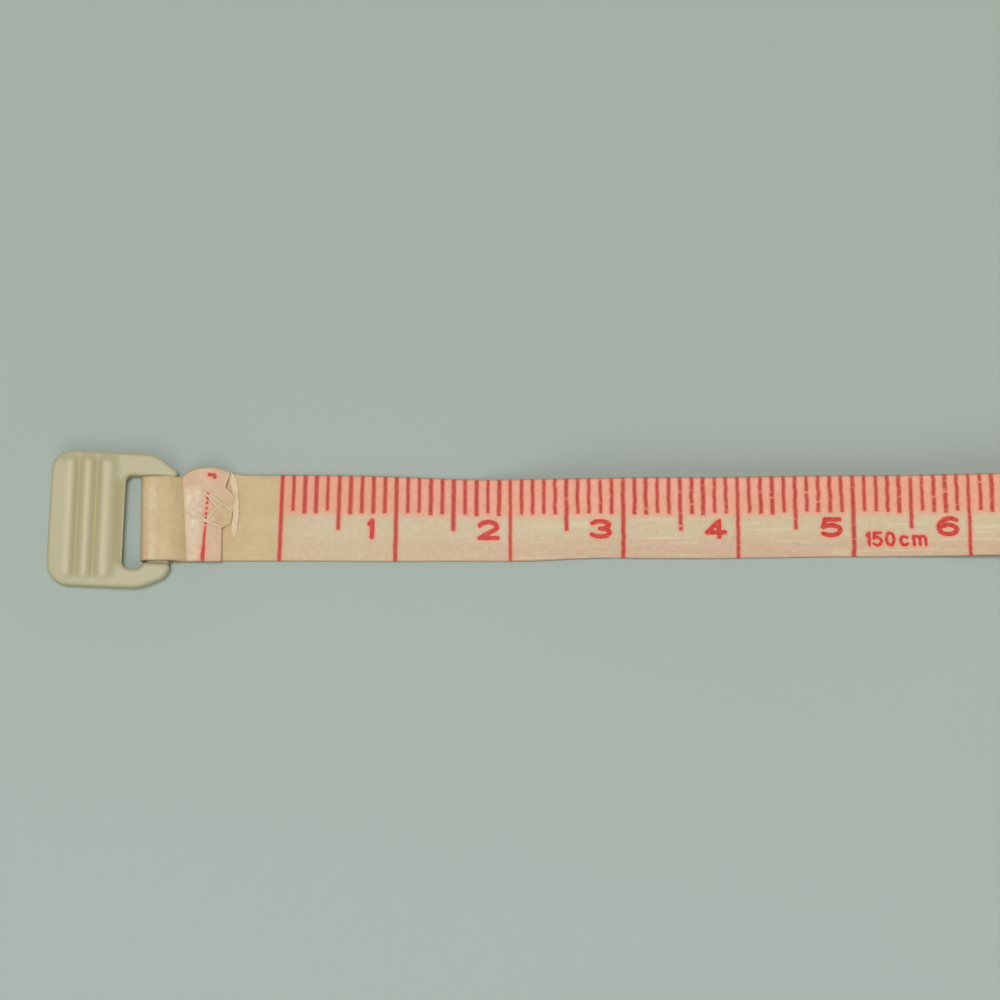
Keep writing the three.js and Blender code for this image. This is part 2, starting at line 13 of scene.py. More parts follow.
import bmesh
import bpy
import numpy as np
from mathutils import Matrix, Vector


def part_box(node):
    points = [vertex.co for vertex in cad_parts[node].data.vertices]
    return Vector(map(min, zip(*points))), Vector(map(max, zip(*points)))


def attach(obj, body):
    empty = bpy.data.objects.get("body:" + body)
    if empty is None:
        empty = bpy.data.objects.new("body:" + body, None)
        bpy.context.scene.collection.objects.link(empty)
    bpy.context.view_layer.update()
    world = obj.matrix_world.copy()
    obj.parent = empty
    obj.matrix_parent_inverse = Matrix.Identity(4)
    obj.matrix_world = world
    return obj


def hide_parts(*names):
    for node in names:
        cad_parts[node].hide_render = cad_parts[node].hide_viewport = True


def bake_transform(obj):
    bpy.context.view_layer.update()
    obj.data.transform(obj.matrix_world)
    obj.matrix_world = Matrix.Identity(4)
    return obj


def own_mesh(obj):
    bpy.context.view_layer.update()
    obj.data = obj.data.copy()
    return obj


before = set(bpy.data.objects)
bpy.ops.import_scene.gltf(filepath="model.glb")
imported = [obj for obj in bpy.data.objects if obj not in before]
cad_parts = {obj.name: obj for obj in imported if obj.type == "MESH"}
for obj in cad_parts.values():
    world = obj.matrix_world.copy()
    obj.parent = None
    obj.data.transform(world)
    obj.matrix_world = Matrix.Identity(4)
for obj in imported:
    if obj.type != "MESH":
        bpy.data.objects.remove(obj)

LOG = logging.getLogger("tape_measure")
MM = 0.001
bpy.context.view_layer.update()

Colour = tuple[float, float, float, float]
Socket = bpy.types.NodeSocket
Value = float | Socket


class Body(Enum):
    """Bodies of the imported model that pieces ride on."""

    CASE = "case"
    REEL = "reel"
    BUTTON = "button"
    TAPE_END = "tape_end"
    TAB = "tab"


class Slot(Enum):
    """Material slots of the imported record."""

    CASE = "case_plastic"
    TAB = "tab_plastic"
    BUTTON = "button_plastic"
    REEL = "reel_plastic"
    LEVER = "lever_plastic"
    PAD = "brake_rubber"
    STEEL = "steel"
    TAPE = "tape_cloth"


class Print(Enum):
    """What is printed on a stretch of cloth."""

    SCALE = "scale"
    NONE = "none"


def srgb(red: float, green: float, blue: float) -> Colour:
    """Turns a colour as it is seen, 0 to 255 a channel, into Blender's linear colour.

    Args:
        red: Red channel.
        green: Green channel.
        blue: Blue channel.

    Returns:
        The linear colour with full opacity.
    """
    linear = []
    for channel in (red / 255, green / 255, blue / 255):
        low = channel <= 0.04045
        linear.append(channel / 12.92 if low else ((channel + 0.055) / 1.055) ** 2.4)
    return (*linear, 1.0)


def ease(value: np.ndarray | float, low: float, high: float) -> np.ndarray:
    """Smooth step from 0 at low to 1 at high, or the other way round if high is below low.

    Args:
        value: Where to read the step.
        low: Value at which the step is 0.
        high: Value at which the step is 1.

    Returns:
        The step, from 0 to 1.
    """
    share = np.clip((np.asarray(value, float) - low) / (high - low), 0, 1)
    return share * share * (3 - 2 * share)


def mesh_piece(name: str, points: Sequence, faces: Sequence, sharp: float = 35) -> bpy.types.Object:
    """Makes a smooth-shaded mesh object from points in the row frame.

    Args:
        name: Name of the piece.
        points: Corners, in metres.
        faces: Corner numbers of each face.
        sharp: Angle in degrees above which an edge stays sharp.

    Returns:
        The object, at the origin.
    """
    mesh = bpy.data.meshes.new(name)
    mesh.from_pydata([tuple(map(float, p)) for p in points], [], [tuple(map(int, f)) for f in faces])
    mesh.validate()
    return settle_mesh(name, mesh, sharp)


def settle_mesh(name: str, mesh: bpy.types.Mesh, sharp: float) -> bpy.types.Object:
    """Turns a mesh's faces outwards, shades it smooth and puts it in the scene.

    Args:
        name: Name of the piece.
        mesh: The mesh.
        sharp: Angle in degrees above which an edge stays sharp.

    Returns:
        The object, at the origin.
    """
    shape = bmesh.new()
    shape.from_mesh(mesh)
    bmesh.ops.recalc_face_normals(shape, faces=shape.faces)
    shape.to_mesh(mesh)
    shape.free()
    mesh.shade_smooth()
    mesh.set_sharp_from_angle(angle=math.radians(sharp))
    piece = bpy.data.objects.new(name, mesh)
    bpy.context.scene.collection.objects.link(piece)
    return piece


def store(piece: bpy.types.Object, name: str, values: np.ndarray) -> None:
    """Keeps one number for each point of a mesh as a named attribute.

    Args:
        piece: The mesh object.
        name: Name of the attribute.
        values: One number for each point.
    """
    attribute = piece.data.attributes.new(name, "FLOAT", "POINT")
    attribute.data.foreach_set("value", np.asarray(values, np.float32).ravel())


def bake(piece: bpy.types.Object, sharp: float | None = None) -> bpy.types.Object:
    """Turns an object with modifiers into a plain mesh.

    Args:
        piece: The object.
        sharp: Angle in degrees above which an edge stays sharp, or None to keep the mesh's own.

    Returns:
        The same object, with its result as its mesh and no modifiers.
    """
    graph = bpy.context.evaluated_depsgraph_get()
    mesh = bpy.data.meshes.new_from_object(piece.evaluated_get(graph), depsgraph=graph)
    piece.modifiers.clear()
    piece.data = mesh
    if sharp is not None:
        mesh.shade_smooth()
        mesh.set_sharp_from_angle(angle=math.radians(sharp))
    return piece


class Change(Enum):
    """How closed tools change a closed piece."""

    CUT = "DIFFERENCE"
    ADD = "UNION"


def carve(piece: bpy.types.Object, tools: Sequence[bpy.types.Object], change: Change) -> bpy.types.Object:
    """Cuts closed tools out of a closed piece, or adds them to it, and removes the tools.

    Args:
        piece: What is changed.
        tools: Solids that don't touch each other.
        change: Whether they are cut out or added.

    Returns:
        The piece.
    """
    shape = bmesh.new()
    for tool in tools:
        shape.from_mesh(tool.data)
        bpy.data.objects.remove(tool)
    mesh = bpy.data.meshes.new("tools")
    shape.to_mesh(mesh)
    shape.free()
    together = settle_mesh("tools", mesh, 35)
    modifier = piece.modifiers.new("carve", "BOOLEAN")
    modifier.operation, modifier.solver, modifier.object = change.value, "MANIFOLD", together
    bake(piece, 35)
    bpy.data.objects.remove(together)
    return piece


def dress(piece: bpy.types.Object, material: bpy.types.Material) -> bpy.types.Object:
    """Gives a piece its finish.

    Args:
        piece: The piece.
        material: Its finish.

    Returns:
        The piece.
    """
    piece.data.materials.clear()
    piece.data.materials.append(material)
    return piece


def loft(rings: Sequence[np.ndarray], closed: bool) -> tuple[np.ndarray, list]:
    """Joins rings of points, each with the same count, with a skin of quads.

    Args:
        rings: The rings, in order. A ring of one point repeated closes the skin like a pole.
        closed: Whether the last ring joins the first.

    Returns:
        The points and the faces.
    """
    count = len(rings[0])
    points = np.vstack(rings)
    pairs = len(rings) if closed else len(rings) - 1
    faces = []
    for k in range(pairs):
        here, there = k * count, ((k + 1) % len(rings)) * count
        for i in range(count):
            j = (i + 1) % count
            faces.append((here + i, here + j, there + j, there + i))
    return points, faces


def lofted_piece(name: str, rings: Sequence[np.ndarray], closed: bool, sharp: float = 35) -> bpy.types.Object:
    """A mesh object from joined rings, with doubled points merged.

    Args:
        name: Name of the piece.
        rings: The rings, in order.
        closed: Whether the last ring joins the first.
        sharp: Angle in degrees above which an edge stays sharp.

    Returns:
        The object, at the origin.
    """
    points, faces = loft(rings, closed)
    mesh = bpy.data.meshes.new(name)
    mesh.from_pydata(points.tolist(), [], faces)
    shape = bmesh.new()
    shape.from_mesh(mesh)
    bmesh.ops.remove_doubles(shape, verts=shape.verts, dist=1e-7)
    bmesh.ops.dissolve_degenerate(shape, edges=shape.edges, dist=1e-7)
    shape.to_mesh(mesh)
    shape.free()
    return settle_mesh(name, mesh, sharp)


class Shader:
    """One node material, built through short calls."""

    def __init__(self, name: str) -> None:
        """Starts a material with an empty Principled surface."""
        self.material = bpy.data.materials.new(name)
        self.material.use_nodes = True
        self.tree = self.material.node_tree
        self.tree.nodes.clear()
        self.surface = self.add("ShaderNodeBsdfPrincipled")
        output = self.add("ShaderNodeOutputMaterial")
        self.tree.links.new(self.surface.outputs["BSDF"], output.inputs["Surface"])

    def add(self, kind: str, **settings: object) -> bpy.types.Node:
        """Adds a node and sets its properties."""
        node = self.tree.nodes.new(kind)
        for name, value in settings.items():
            setattr(node, name, value)
        return node

    def put(self, socket: Socket, value: Value | Colour | tuple) -> None:
        """Links a socket, or sets its constant."""
        if isinstance(value, Socket):
            self.tree.links.new(value, socket)
        else:
            socket.default_value = value

    def set(self, **values: Value | Colour) -> None:
        """Sets inputs of the surface, with _ for a space in their names."""
        for name, value in values.items():
            self.put(self.surface.inputs[name.replace("_", " ")], value)

    def math(self, operation: str, *values: Value) -> Socket:
        """A Math node's result."""
        node = self.add("ShaderNodeMath", operation=operation)
        for socket, value in zip(node.inputs, values):
            self.put(socket, value)
        return node.outputs[0]

    def times(self, *values: Value) -> Socket:
        """Product of several values."""
        product = values[0]
        for value in values[1:]:
            product = self.math("MULTIPLY", product, value)
        return product

    def ease(self, value: Value, low: float, high: float) -> Socket:
        """Smooth step from 0 at low to 1 at high, or falling where high is below low."""
        node = self.add("ShaderNodeMapRange", interpolation_type="SMOOTHSTEP")
        falls = high < low
        self.put(node.inputs["Value"], value)
        node.inputs["From Min"].default_value = min(low, high)
        node.inputs["From Max"].default_value = max(low, high)
        node.inputs["To Min"].default_value = 1.0 if falls else 0.0
        node.inputs["To Max"].default_value = 0.0 if falls else 1.0
        return node.outputs["Result"]

    def range(self, value: Value, low: float, high: float) -> Socket:
        """Maps 0 to 1 onto low to high."""
        node = self.add("ShaderNodeMapRange")
        self.put(node.inputs["Value"], value)
        node.inputs["To Min"].default_value = low
        node.inputs["To Max"].default_value = high
        return node.outputs["Result"]

    def mix(self, share: Value, low: Socket | Colour, high: Socket | Colour) -> Socket:
        """Mixes two colours."""
        node = self.add("ShaderNodeMix", data_type="RGBA")
        self.put(node.inputs["Factor"], share)
        self.put(node.inputs[6], low)
        self.put(node.inputs[7], high)
        return node.outputs[2]

    def multiply(self, colour: Socket, shade: Socket) -> Socket:
        """A colour darkened by a shade."""
        node = self.add("ShaderNodeMix", data_type="RGBA", blend_type="MULTIPLY")
        node.inputs["Factor"].default_value = 1.0
        self.put(node.inputs[6], colour)
        self.put(node.inputs[7], shade)
        return node.outputs[2]

    def place(self) -> tuple[Socket, Socket, Socket]:
        """Object coordinates in millimetres, as x, y and z."""
        coordinates = self.add("ShaderNodeTexCoord")
        scaled = self.add("ShaderNodeVectorMath", operation="SCALE")
        self.put(scaled.inputs["Vector"], coordinates.outputs["Object"])
        scaled.inputs["Scale"].default_value = 1 / MM
        parts = self.add("ShaderNodeSeparateXYZ")
        self.put(parts.inputs["Vector"], scaled.outputs["Vector"])
        return parts.outputs["X"], parts.outputs["Y"], parts.outputs["Z"]

    def vector(self, x: Value, y: Value, z: Value = 0.0) -> Socket:
        """Joins three values."""
        node = self.add("ShaderNodeCombineXYZ")
        for socket, value in zip(node.inputs, (x, y, z)):
            self.put(socket, value)
        return node.outputs["Vector"]

    def attribute(self, name: str) -> Socket:
        """A mesh attribute's number, 0 where a mesh has none."""
        return self.add("ShaderNodeAttribute", attribute_name=name).outputs["Fac"]

    def noise(self, vector: Socket, scale: float, detail: float = 2.0) -> Socket:
        """Noise from about 0.2 to 0.8."""
        node = self.add("ShaderNodeTexNoise")
        self.put(node.inputs["Vector"], vector)
        node.inputs["Scale"].default_value = scale
        node.inputs["Detail"].default_value = detail
        return node.outputs["Fac"]

    def bump(self, height: Socket, depth: float, strength: float = 1.0) -> None:
        """Gives the surface a fine relief, with its depth in metres."""
        node = self.add("ShaderNodeBump")
        self.put(node.inputs["Height"], height)
        node.inputs["Distance"].default_value = depth
        node.inputs["Strength"].default_value = strength
        self.put(self.surface.inputs["Normal"], node.outputs["Normal"])


class Growth:
    """One Geometry Nodes tree, built through short calls and then baked into a plain mesh."""

    def __init__(self, name: str) -> None:
        """Starts a tree with one geometry in and one out."""
        self.name = name
        self.tree = bpy.data.node_groups.new(name, "GeometryNodeTree")
        self.sizes: dict[str, float | int] = {}
        for way in ("INPUT", "OUTPUT"):
            self.tree.interface.new_socket("Geometry", in_out=way, socket_type="NodeSocketGeometry")
        self.start = self.tree.nodes.new("NodeGroupInput")
        self.end = self.tree.nodes.new("NodeGroupOutput")

    def size(self, name: str, value: float | int) -> Socket:
        """Adds a named input of the tree and keeps its value."""
        kind = "NodeSocketInt" if isinstance(value, int) else "NodeSocketFloat"
        socket = self.tree.interface.new_socket(name, in_out="INPUT", socket_type=kind)
        self.sizes[socket.identifier] = value
        return self.start.outputs[name]

    def add(self, kind: str, settings: dict | None = None, **inputs: object) -> bpy.types.Node:
        """Adds a node, sets its properties and its inputs, with _ for a space in an input's name."""
        node = self.tree.nodes.new(kind)
        for name, value in (settings or {}).items():
            setattr(node, name, value)
        for name, value in inputs.items():
            self.put(node.inputs[name.replace("_", " ")], value)
        return node

    def put(self, socket: Socket, value: object) -> None:
        """Links a socket, or sets its constant."""
        if isinstance(value, Socket):
            self.tree.links.new(value, socket)
        else:
            socket.default_value = value

    def math(self, operation: str, *values: Value) -> Socket:
        """A Math node's result."""
        node = self.add("ShaderNodeMath", {"operation": operation})
        for socket, value in zip(node.inputs, values):
            self.put(socket, value)
        return node.outputs[0]

    def vector(self, x: Value, y: Value, z: Value) -> Socket:
        """Joins three values."""
        return self.add("ShaderNodeCombineXYZ", X=x, Y=y, Z=z).outputs["Vector"]

    def grow(self, piece: bpy.types.Object, shape: Socket, material: bpy.types.Material) -> bpy.types.Object:
        """Ends the tree, runs it on a piece and leaves the piece as a plain mesh.

        Args:
            piece: The object that the tree starts from.
            shape: The finished geometry.
            material: Finish of the result.

        Returns:
            The piece, without the modifier.
        """
        smooth = self.add("GeometryNodeSetShadeSmooth", Geometry=shape)
        real = self.add("GeometryNodeRealizeInstances", Geometry=smooth.outputs[0])
        finish = self.add("GeometryNodeSetMaterial", Geometry=real.outputs[0], Material=material)
        self.put(self.end.inputs[0], finish.outputs[0])
        modifier = piece.modifiers.new(self.name, "NODES")
        modifier.node_group = self.tree
        for identifier, value in self.sizes.items():
            modifier[identifier] = value
        return bake(piece)


@dataclass(frozen=True)
class TapeRoute:
    """Side view of the drawn-out tape, with the same places as the CAD run.

    Attributes:
        width: Of the tape.
        thickness: Of the tape.
        fold: Hinge line between the sewn end and the tab, along X.
        zero: The scale's zero line, along X.
        seam_gap: From the fold to where the run starts.
        liftoff: Where the tape leaves the table, from the zero line.
        risen: Where it has reached its height over the table, from the zero line.
        climb_from: Where it starts to climb to the mouth, from the zero line.
        table_height: Of the tape's middle where it lies flat.
        over_height: Of the tape's middle where it hangs over the table.
        mouth_height: Of the tape's middle at the mouth.
        reel_height: Of the tape's middle where it meets the winding.
    """

    width: float = 7.4 * MM
    thickness: float = 0.3 * MM
    fold: float = -113.1 * MM
    zero: float = -105.0 * MM
    seam_gap: float = 0.45 * MM
    liftoff: float = 16.0 * MM
    risen: float = 29.0 * MM
    climb_from: float = 50.0 * MM
    table_height: float = 0.2 * MM
    over_height: float = 2.05 * MM
    mouth_height: float = 5.0 * MM
    reel_height: float = 5.85 * MM

    @property
    def start(self) -> float:
        """X of the run's end at the sewn seam."""
        return self.fold + self.seam_gap

    @property
    def mouth(self) -> float:
        """X of the case's mouth."""
        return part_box("front_shell")[0].x

    @property
    def reel(self) -> float:
        """X where the run meets the winding."""
        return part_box("tape_run")[1].x

    def height(self, x: np.ndarray) -> np.ndarray:
        """Height of the tape's middle.

        Args:
            x: Places along the tape.

        Returns:
            The height at each place.
        """
        rise = (self.over_height - self.table_height) * ease(x, self.zero + self.liftoff, self.zero + self.risen)
        climb = (self.mouth_height - self.over_height) * ease(x, self.zero + self.climb_from, self.mouth)
        inside = np.clip((x - self.mouth) / (self.reel - self.mouth), 0, 1)
        return self.table_height + rise + climb + (self.reel_height - self.mouth_height) * inside


@dataclass(frozen=True)
class TapeCloth:
    """Tightly woven straw-coloured cloth, plain or with the red scale.

    Attributes:
        printed: What is printed on it.
        plain: Colour of the bare cloth.
        deep: Darker tone of the bare cloth.
        cream: Colour of the printed cloth between the marks.
        salmon: Stain between the short lines of the scale.
        rosy: The same stain further along the tape.
        peach: Warmer tone along the lower edge.
        streak: Pale lengthwise threads with painted sheen, also used for the painted glints of the twill.
        puff: Whitish pink of the sewn-down end.
        glint: Painted highlights of the sewn-down end, with its paler patches.
        ink: The scale's lines.
        number_ink: The numbers.
        halo: Bleed of the ink round the print.
        selvedge: Darker line along both edges, partly the selvedge's own tone and partly painted edge shade.
        thread: Width of a thread of the weave, in millimetres.
    """

    printed: Print = Print.SCALE
    plain: Colour = srgb(207, 184, 143)
    deep: Colour = srgb(201, 175, 132)
    cream: Colour = srgb(207, 190, 159)
    salmon: Colour = srgb(230, 160, 129)
    rosy: Colour = srgb(237, 166, 146)
    peach: Colour = srgb(208, 176, 148)
    streak: Colour = srgb(226, 209, 178)
    puff: Colour = srgb(212, 181, 150)
    glint: Colour = srgb(231, 216, 191)
    ink: Colour = srgb(184, 57, 45)
    number_ink: Colour = srgb(202, 46, 42)
    halo: Colour = srgb(236, 150, 128)
    selvedge: Colour = srgb(158, 128, 98)
    thread: float = 0.24

    def material(self, route: TapeRoute) -> bpy.types.Material:
        """Builds the cloth's material.

        Args:
            route: The tape that it lies on.

        Returns:
            The material.
        """
        shader = Shader(f"tape_cloth_{self.printed.value}")
        x, y, z = shader.place()
        weave = self._weave(shader, x, y)
        tone = shader.noise(shader.vector(x, y, z), 0.35, 3.0)
        colour = shader.mix(shader.ease(tone, 0.3, 0.75), self.plain, self.deep)
        if self.printed is Print.SCALE:
            colour = self._scale(shader, x, y, colour, route)
        shade = shader.mix(shader.ease(weave, -0.7, 0.3), srgb(240, 236, 232), srgb(255, 255, 255))
        shader.set(Base_Color=shader.multiply(colour, shade))
        shader.set(Roughness=shader.range(tone, 0.5, 0.7), Specular_IOR_Level=0.3)
        shader.bump(weave, 0.02 * MM, 0.35)
        return shader.material

    def _weave(self, shader: Shader, x: Socket, y: Socket) -> Socket:
        """Height of the crossing threads, about -1 to 1."""
        turn = 2 * math.pi / self.thread
        warp = shader.math("SINE", shader.times(y, turn))
        weft = shader.math("SINE", shader.times(x, turn))
        rough = shader.math("SUBTRACT", shader.noise(shader.vector(x, y), 2.4, 3.0), 0.5)
        return shader.math("ADD", shader.times(warp, weft, 0.4), shader.times(rough, 1.6))

    def _scale(self, shader: Shader, x: Socket, y: Socket, colour: Socket, route: TapeRoute) -> Socket:
        """Lays the stain, the streaks, the scale's lines and the signs on the cloth, with painted sheen, glints and
        edge shade.

        Args:
            shader: The material.
            x: Place along the tape, in millimetres.
            y: Place across it, in millimetres.
            colour: The bare cloth.
            route: The tape that it lies on.

        Returns:
            The printed colour.
        """
        along, across = shader.attribute("along"), shader.attribute("across")
        printed = shader.ease(along, -0.45, -0.35)
        stained = shader.ease(along, -0.8, 2.5)
        far = shader.ease(along, 8.0, 28.0)
        strands = shader.noise(shader.vector(shader.times(x, 0.12), shader.times(y, 3.0)), 1.0, 3.0)
        colour = shader.mix(shader.times(stained, 0.85), colour, self.cream)
        low = shader.times(shader.ease(across, 4.9, 6.1), stained, shader.range(shader.ease(along, 6.0, 20.0), 0.4, 0.9))
        colour = shader.mix(low, colour, self.peach)
        # Pale lengthwise streaks: partly paler threads, partly painted sheen of the satin weave.
        pale = shader.times(shader.ease(strands, 0.52, 0.7), far, 0.55)
        colour = shader.mix(pale, colour, self.streak)
        # Short pale diagonal dashes: painted glints of the twill.
        twill = shader.vector(shader.times(shader.math("ADD", x, y), 3.2), shader.math("SUBTRACT", x, y))
        painted_twill_glints = shader.times(shader.ease(shader.noise(twill, 1.4, 2.0), 0.56, 0.7), stained, 0.4)
        colour = shader.mix(painted_twill_glints, colour, self.streak)
        high = shader.times(shader.ease(across, 3.95, 2.75), shader.ease(along, -0.5, 0.6), 0.9)
        rosy = shader.times(shader.ease(along, 2.0, 16.0), shader.range(shader.ease(along, 42.0, 58.0), 1.0, 0.25))
        patchy = shader.ease(shader.noise(shader.vector(x, shader.times(y, 0.6)), 1.1, 2.0), 0.35, 0.62)
        rosy = shader.times(rosy, shader.range(patchy, 0.25, 1.0))
        colour = shader.mix(high, colour, shader.mix(rosy, self.salmon, self.rosy))
        lines, glow = self._lines(shader, x, y, along, across, route)
        sign = shader.attribute("sign")
        blot = shader.noise(shader.vector(x, y), 2.6, 2.0)
        signs = shader.ease(shader.math("ADD", sign, shader.times(shader.math("SUBTRACT", blot, 0.5), 0.3)), 0.9, 1.12)
        bleed = shader.math("MAXIMUM", shader.times(glow, printed), shader.ease(sign, 0.25, 1.0))
        colour = self._sewn(shader, colour)
        colour = shader.mix(shader.times(bleed, 0.6), colour, self.halo)
        worn = shader.range(shader.noise(shader.vector(x, shader.times(y, 1.6)), 3.4, 2.0), 1.25, 0.6)
        colour = shader.mix(shader.math("MINIMUM", shader.times(lines, printed, worn), 1.0), colour, self.ink)
        sign_ink = shader.mix(shader.attribute("flap"), self.number_ink, self.ink)
        colour = shader.mix(shader.math("MINIMUM", shader.times(signs, worn), 1.0), colour, sign_ink)
        # Darker line along both edges: partly the selvedge's tone, partly painted edge shade.
        middle = 0.5 * route.width / MM
        rim = shader.math("ABSOLUTE", shader.math("SUBTRACT", across, middle))
        return shader.mix(shader.times(shader.ease(rim, middle - 0.2, middle - 0.03), 0.5), colour, self.selvedge)

    def _sewn(self, shader: Shader, colour: Socket) -> Socket:
        """Tints the sewn-down end, which its mesh marks, and paints its highlights."""
        x, y, z = shader.place()
        flap = shader.attribute("flap")
        colour = shader.mix(flap, colour, self.puff)
        # Painted highlights and paler patches where the mesh's glint mark is, broken up by noise.
        patches = shader.noise(shader.vector(x, shader.times(y, 0.7), z), 2.2, 3.0)
        pale = shader.times(shader.attribute("glint"), shader.range(shader.ease(patches, 0.3, 0.7), 0.55, 1.2))
        return shader.mix(shader.math("MINIMUM", pale, 1.0), colour, self.glint)

    def _lines(self, shader: Shader, x: Socket, y: Socket, along: Socket, across: Socket,
               route: TapeRoute) -> tuple[Socket, Socket]:
        """The scale's lines, one for each millimetre, longer at each fifth and across at each tenth.

        Args:
            shader: The material.
            x: Place along the tape, in millimetres.
            y: Place across it, in millimetres.
            along: Distance from the zero line, in millimetres.
            across: Distance from the upper edge, in millimetres.
            route: The tape that it lies on.

        Returns:
            The ink and the bleed round it.
        """
        scale = ScalePrint()
        straight = shader.math("ADD", shader.math("ADD", x, -route.zero / MM), shader.attribute("slack"))
        lean = shader.math("ADD", shader.times(straight, scale.lean_change), scale.lean)
        place = shader.math("SUBTRACT", straight, shader.times(y, lean))
        number = shader.math("FLOOR", shader.math("ADD", place, 0.5))
        fifth = shader.math("LESS_THAN", shader.math("FLOORED_MODULO", number, 5.0), 0.5)
        tenth = shader.math("LESS_THAN", shader.math("FLOORED_MODULO", number, 10.0), 0.5)
        chance = shader.add("ShaderNodeTexWhiteNoise", noise_dimensions="1D")
        shader.put(chance.inputs["W"], number)
        uneven = shader.times(shader.math("SUBTRACT", chance.outputs["Value"], 0.5), 0.3)
        reach = shader.math("ADD", shader.times(fifth, scale.fifth - scale.single), scale.single)
        reach = shader.math("ADD", reach, shader.times(tenth, scale.tenth - scale.fifth))
        reach = shader.math("ADD", reach, shader.times(uneven, shader.math("SUBTRACT", 1.0, fifth)))
        ends = shader.ease(shader.math("SUBTRACT", across, reach), 0.1, -0.1)
        soft_ends = shader.ease(shader.math("SUBTRACT", across, reach), 0.4, -0.1)
        shaky = shader.range(shader.ease(along, 6.0, 30.0), 0.10, 0.26)
        sway = shader.noise(shader.vector(shader.times(number, 7.7), shader.times(across, 0.9)), 1.0, 3.0)
        moved = shader.math("ADD", place, shader.times(shader.math("SUBTRACT", sway, 0.5), shaky))
        near = shader.math("ABSOLUTE", shader.math("SUBTRACT", moved, number))
        width = shader.range(chance.outputs["Value"], -0.02, 0.03)
        core = shader.ease(shader.math("SUBTRACT", near, width), scale.stroke / 2 + 0.08, scale.stroke / 2 - 0.12)
        breaks = shader.noise(shader.vector(shader.times(number, 3.3), shader.times(across, 2.4)), 1.0, 2.0)
        gap = shader.times(shader.ease(breaks, 0.6, 0.72), shader.ease(along, 14.0, 34.0), 0.75)
        ink = shader.times(core, ends, shader.math("SUBTRACT", 1.0, gap))
        return ink, shader.times(shader.ease(near, 0.5, 0.15), soft_ends)


@dataclass(frozen=True)
class ScalePrint:
    """Sizes of the printed scale in millimetres, and its numbers as strokes.

    Attributes:
        single: Length of the millimetre lines.
        fifth: Length of the five-millimetre lines.
        tenth: Length of the centimetre lines.
        stroke: Width of the lines.
        lean: Lean of the print at the zero line, as a slope.
        lean_change: Change of that slope for each millimetre.
        number_height: Of the big numbers.
        number_width: Of the big numbers.
        number_stroke: Width of their strokes.
        number_top: From the upper edge to the numbers.
        spread: How far round a stroke the bleed is marked.
    """

    single: float = 3.22
    fifth: float = 4.7
    tenth: float = 7.45
    stroke: float = 0.37
    lean: float = 0.037
    lean_change: float = -0.00184
    number_height: float = 1.43
    number_width: float = 1.54
    number_stroke: float = 0.43
    number_top: float = 3.85
    spread: float = 0.42

    @staticmethod
    def _arc(x: float, y: float, wide: float, high: float, start: float, end: float) -> list:
        """Points of an elliptic arc, with its angles in degrees."""
        angles = np.radians(np.linspace(start, end, 13))
        return [(x + wide * math.cos(a), y + high * math.sin(a)) for a in angles]

    def strokes(self, sign: str) -> list:
        """Strokes of one sign in a box that is 1 wide and 1 high.

        Args:
            sign: One of the scale's signs.

        Returns:
            A list of lines of points.
        """
        arc = self._arc
        shapes = {
            "0": [arc(0.5, 0.5, 0.5, 0.5, 0, 360)],
            "1": [[(0.0, 0.78), (1.0, 1.0), (1.0, 0.0)]],
            "2": [arc(0.48, 0.7, 0.5, 0.3, 165, -25) + [(0.0, 0.0), (1.0, 0.0)]],
            "3": [arc(0.42, 0.76, 0.5, 0.24, 150, -90), arc(0.42, 0.26, 0.55, 0.26, 90, -155)],
            "4": [[(0.68, 0.0), (0.68, 1.0), (0.0, 0.28), (1.0, 0.28)]],
            "5": [[(0.96, 1.0), (0.12, 1.0), (0.06, 0.52)] + arc(0.45, 0.32, 0.55, 0.32, 138, -140)],
            "6": [arc(0.5, 0.3, 0.5, 0.3, 0, 360), arc(0.62, 0.42, 0.62, 0.58, 180, 55)],
            "7": [[(0.0, 1.0), (1.0, 1.0), (0.3, 0.0)]],
            "c": [arc(0.5, 0.35, 0.5, 0.35, 45, 315)],
            "m": [[(0.0, 0.0), (0.0, 0.7)], arc(0.25, 0.45, 0.25, 0.25, 180, 0) + [(0.5, 0.0)],
                  arc(0.75, 0.45, 0.25, 0.25, 180, 0) + [(1.0, 0.0)]],
        }
        return shapes[sign]

    def signs(self) -> list[tuple[str, float, float, float, float, float]]:
        """All signs on the drawn-out tape.

        Returns:
            For each one its name, its left end, its top, its width, its height and its stroke.
        """
        found = []
        for number in range(1, 8):
            narrow = number == 1
            width = 0.24 if narrow else self.number_width
            left = 10 * number - (2.3 if narrow else 1.14 + self.number_width)
            found.append((str(number), left, self.number_top, width, self.number_height, self.number_stroke))
        whole = (("1", 51.1, 0.2), ("5", 51.66, 0.66), ("0", 52.76, 0.64), ("c", 53.96, 0.64), ("m", 55.08, 1.0))
        for sign, left, width in whole:
            found.append((sign, left, 5.08, width, 1.16, 0.29))
        return found

    def coverage(self, along: np.ndarray, across: np.ndarray) -> np.ndarray:
        """How near each point is to a sign's stroke.

        Args:
            along: Distance from the zero line, in millimetres.
            across: Distance from the upper edge, in millimetres.

        Returns:
            1 at a stroke's edge, more inside it and down to 0 where the bleed ends.
        """
        found = np.zeros(len(along))
        for sign, left, top, width, height, stroke in self.signs():
            for line in self.strokes(sign):
                points = [(left + width * u, top + height * (1 - v)) for u, v in line]
                reach = distance_to_line(np.column_stack([along, across]), points)
                found = np.maximum(found, 1 + (stroke / 2 - reach) / self.spread)
        return np.clip(found, 0, 2)


